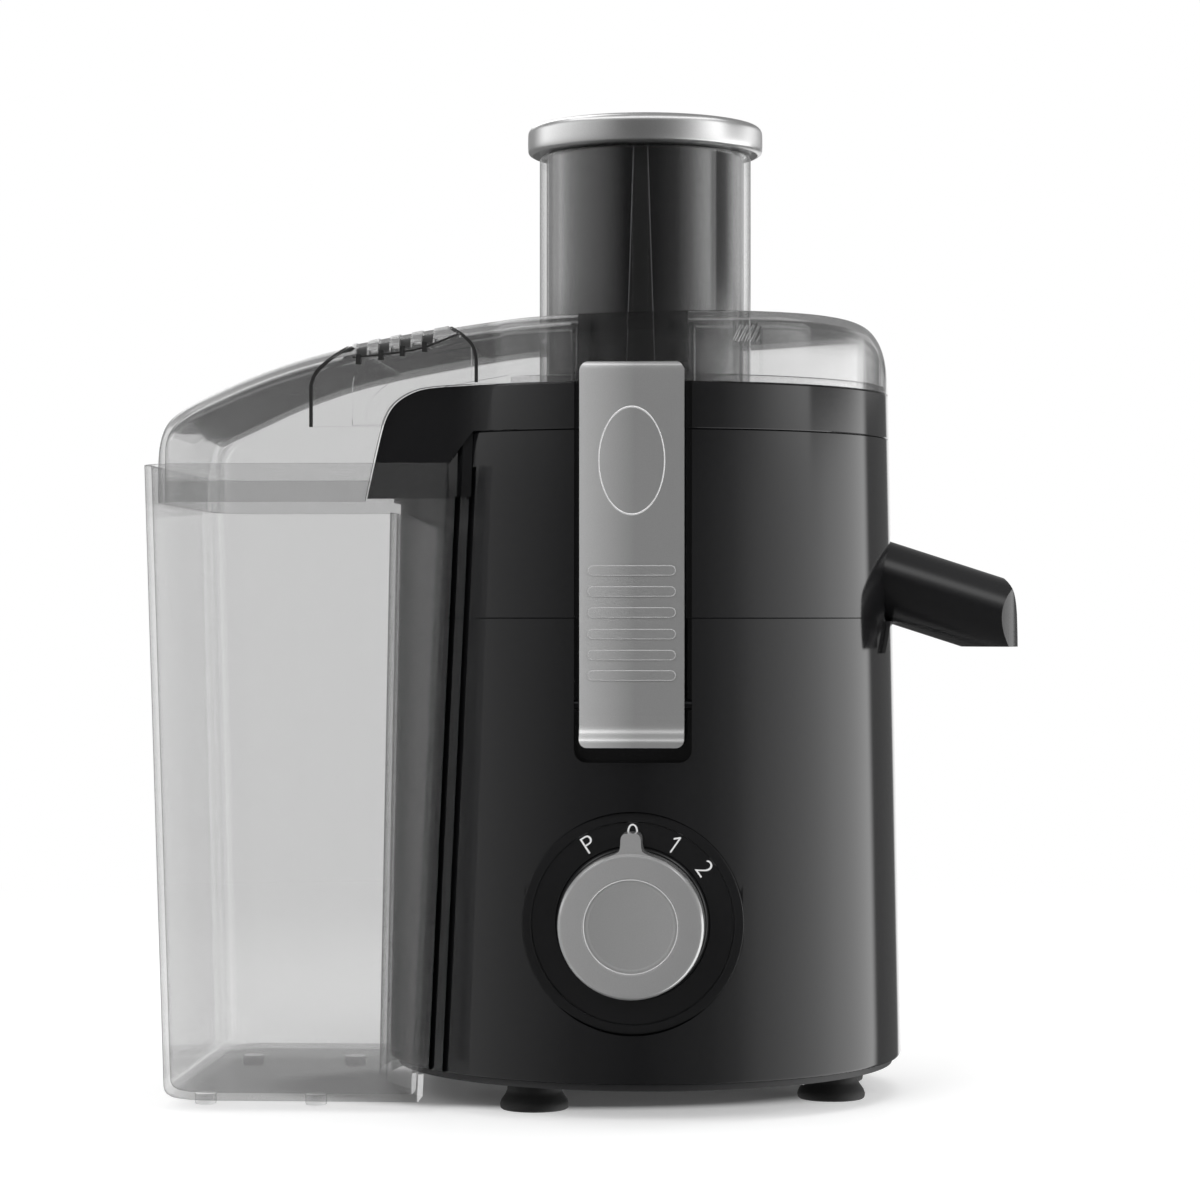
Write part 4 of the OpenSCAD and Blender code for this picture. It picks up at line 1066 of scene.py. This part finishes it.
# ---- Juice spout -----------------------------------------------------------
# A short sloping tube in black plastic with a blunt nose and a mouth cut flat,
# pushed over the collector's outlet and pulled off for washing.


def spout_bar(name, radius, start, end):
    """A round bar on the spout's slope, between two distances along it."""
    bar = rod(name, radius, (0, 0, start), (0, 0, end), "z", 128)
    turn_down = Matrix.Rotation(math.radians(90 + 18), 4, "Y")
    bar.data.transform(Matrix.Translation(at(81.3, 0, 169)) @ turn_down
                       @ Matrix.Translation(-at(0, 0, 0)))
    return bar


spout = spout_bar("spout_tube", 13, -30, 70)
nose = eased([(124, 130), (124, 150.0), (123.4, 163), (121.2, 168.6), (117, 172.4),
              (112, 178), (108, 200)])
carve(spout, side_plate("nose", [(75.4, 200), (75.4, 130)] + nose, -30, 30), "INTERSECT")
plan = [(124.2 - 0.036 * y * y, y) for y in range(-16, 17)]
nose_plan = extruded("nose_plan", [at(x, y, 120) for x, y in [(60, -16)] + plan + [(60, 16)]],
                     (0, 0, 0.09))
carve(spout, nose_plan, "INTERSECT")
hollow = spout_bar("hollow", 10.8, -40, 70)
carve(hollow, block("hollow_ends", (87, 117.5), (-30, 30), (149.8, 200)), "INTERSECT")
carve(spout, hollow)
carve(spout, rod("socket", 10, (60, 0, 169), (88, 0, 169), "x"))
carve(spout, block("under", (60, 140), (-30, 30), (100, 147.5)))
carve(spout, rod("mouth", 6.3, (115.1, 0, 130), (115.1, 0, 158), "z"))
bevel_edges(spout, 0.7, 3, 35)
smooth(spout)
finish_piece(spout, "spout", "satin_black", "juice_spout")

# ---- Plunger ---------------------------------------------------------------
# A hollow glossy black plunger that presses the food down the tube. A groove
# in its front rides on the tube's key. The groove is lined with a matt strip
# between two fine beads, whose light grey is a painted highlight along the
# groove's edges.
plunger = turned("plunger", [
    (0, 233), (31.2, 233), (31.9, 233.3), (32.3, 234), (32.3, 311.3), (27.7, 311.3),
    (27.7, 236), (0, 236)], 160)
carve(plunger, side_plate("groove", [(-2.7, 320), (2.7, 320), (5.2, 225), (-5.2, 225)],
                          -40, -30.1))
bevel_edges(plunger, 0.7, 3, 35)
smooth(plunger)
finish_piece(plunger, "pusher", "gloss_black", "pusher")
strip = side_plate("plunger_strip", [(-2.1, 311), (2.1, 311), (4.6, 234), (-4.6, 234)], -30.9, -30)
bevel_edges(strip, 0.2, 3, 35)
smooth(strip)
strip_paint = plastic("groove_black", (0.006, 0.006, 0.006), 0.45, 0.04, 900, 0.05)
finish_piece(strip, "pusher", "satin_black", paint=strip_paint)
# the beads' light grey is a painted highlight along the groove's edges
for side in (-1, 1):
    bead = side_plate("plunger_bead_%s" % ("left" if side < 0 else "right"), [
        (side * 2.1, 311), (side * 2.45, 311), (side * 4.95, 234), (side * 4.6, 234)], -31.4, -30)
    smooth(bead)
    finish_piece(bead, "pusher", "satin_black", paint=finishes["seal_grey"])

# ---- Pusher cap ------------------------------------------------------------
# A shallow round cap in satin silver, pressed on the plunger, whose rim rests
# on the feed tube.
cap_metal = plastic("cap_silver", (0.62, 0.62, 0.62), 0.3, 0.03, 2500, 0.02, 0.94)
cap = turned("pusher_top", [(0, 313), (28, 313), (28, 311.5), (36.8, 311.5)] + eased([
    (37.6, 311.5), (39.0, 312.2), (39.2, 313.4), (39.2, 317.4), (39.1, 319.2), (38.2, 320.5),
    (36.4, 321.1), (31, 321.9), (22, 322.6), (10, 323), (0, 323.1)]), 160)
smooth(cap)
finish_piece(cap, "pusher", "satin_silver", "pusher_cap", paint=cap_metal)

# ---- Feet ------------------------------------------------------------------
# Four black rubber suction cups, each pushed by its stem through the bottom
# plate.
foot_side = [(0, 3.2), (5, 2.4), (8.4, 0), (10.4, 0), (10.9, 0.4), (11.1, 1.6), (10.6, 3.0),
             (9.3, 4.8), (8.7, 6.2), (8.7, 9.0), (8.3, 9.75), (3.5, 9.75), (3.5, 12.05),
             (4.8, 12.05), (4.9, 12.5), (4, 14.4), (0, 14.5)]
for count, (x, y) in enumerate(((-33, -52), (-33, 52), (62, -22), (62, 22))):
    foot = turned("foot_%d" % (count + 1), foot_side, 64, (x, y))
    smooth(foot, 40)
    finish_piece(foot, "base", "rubber_black")
    if count == 0:
        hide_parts("suction_feet")
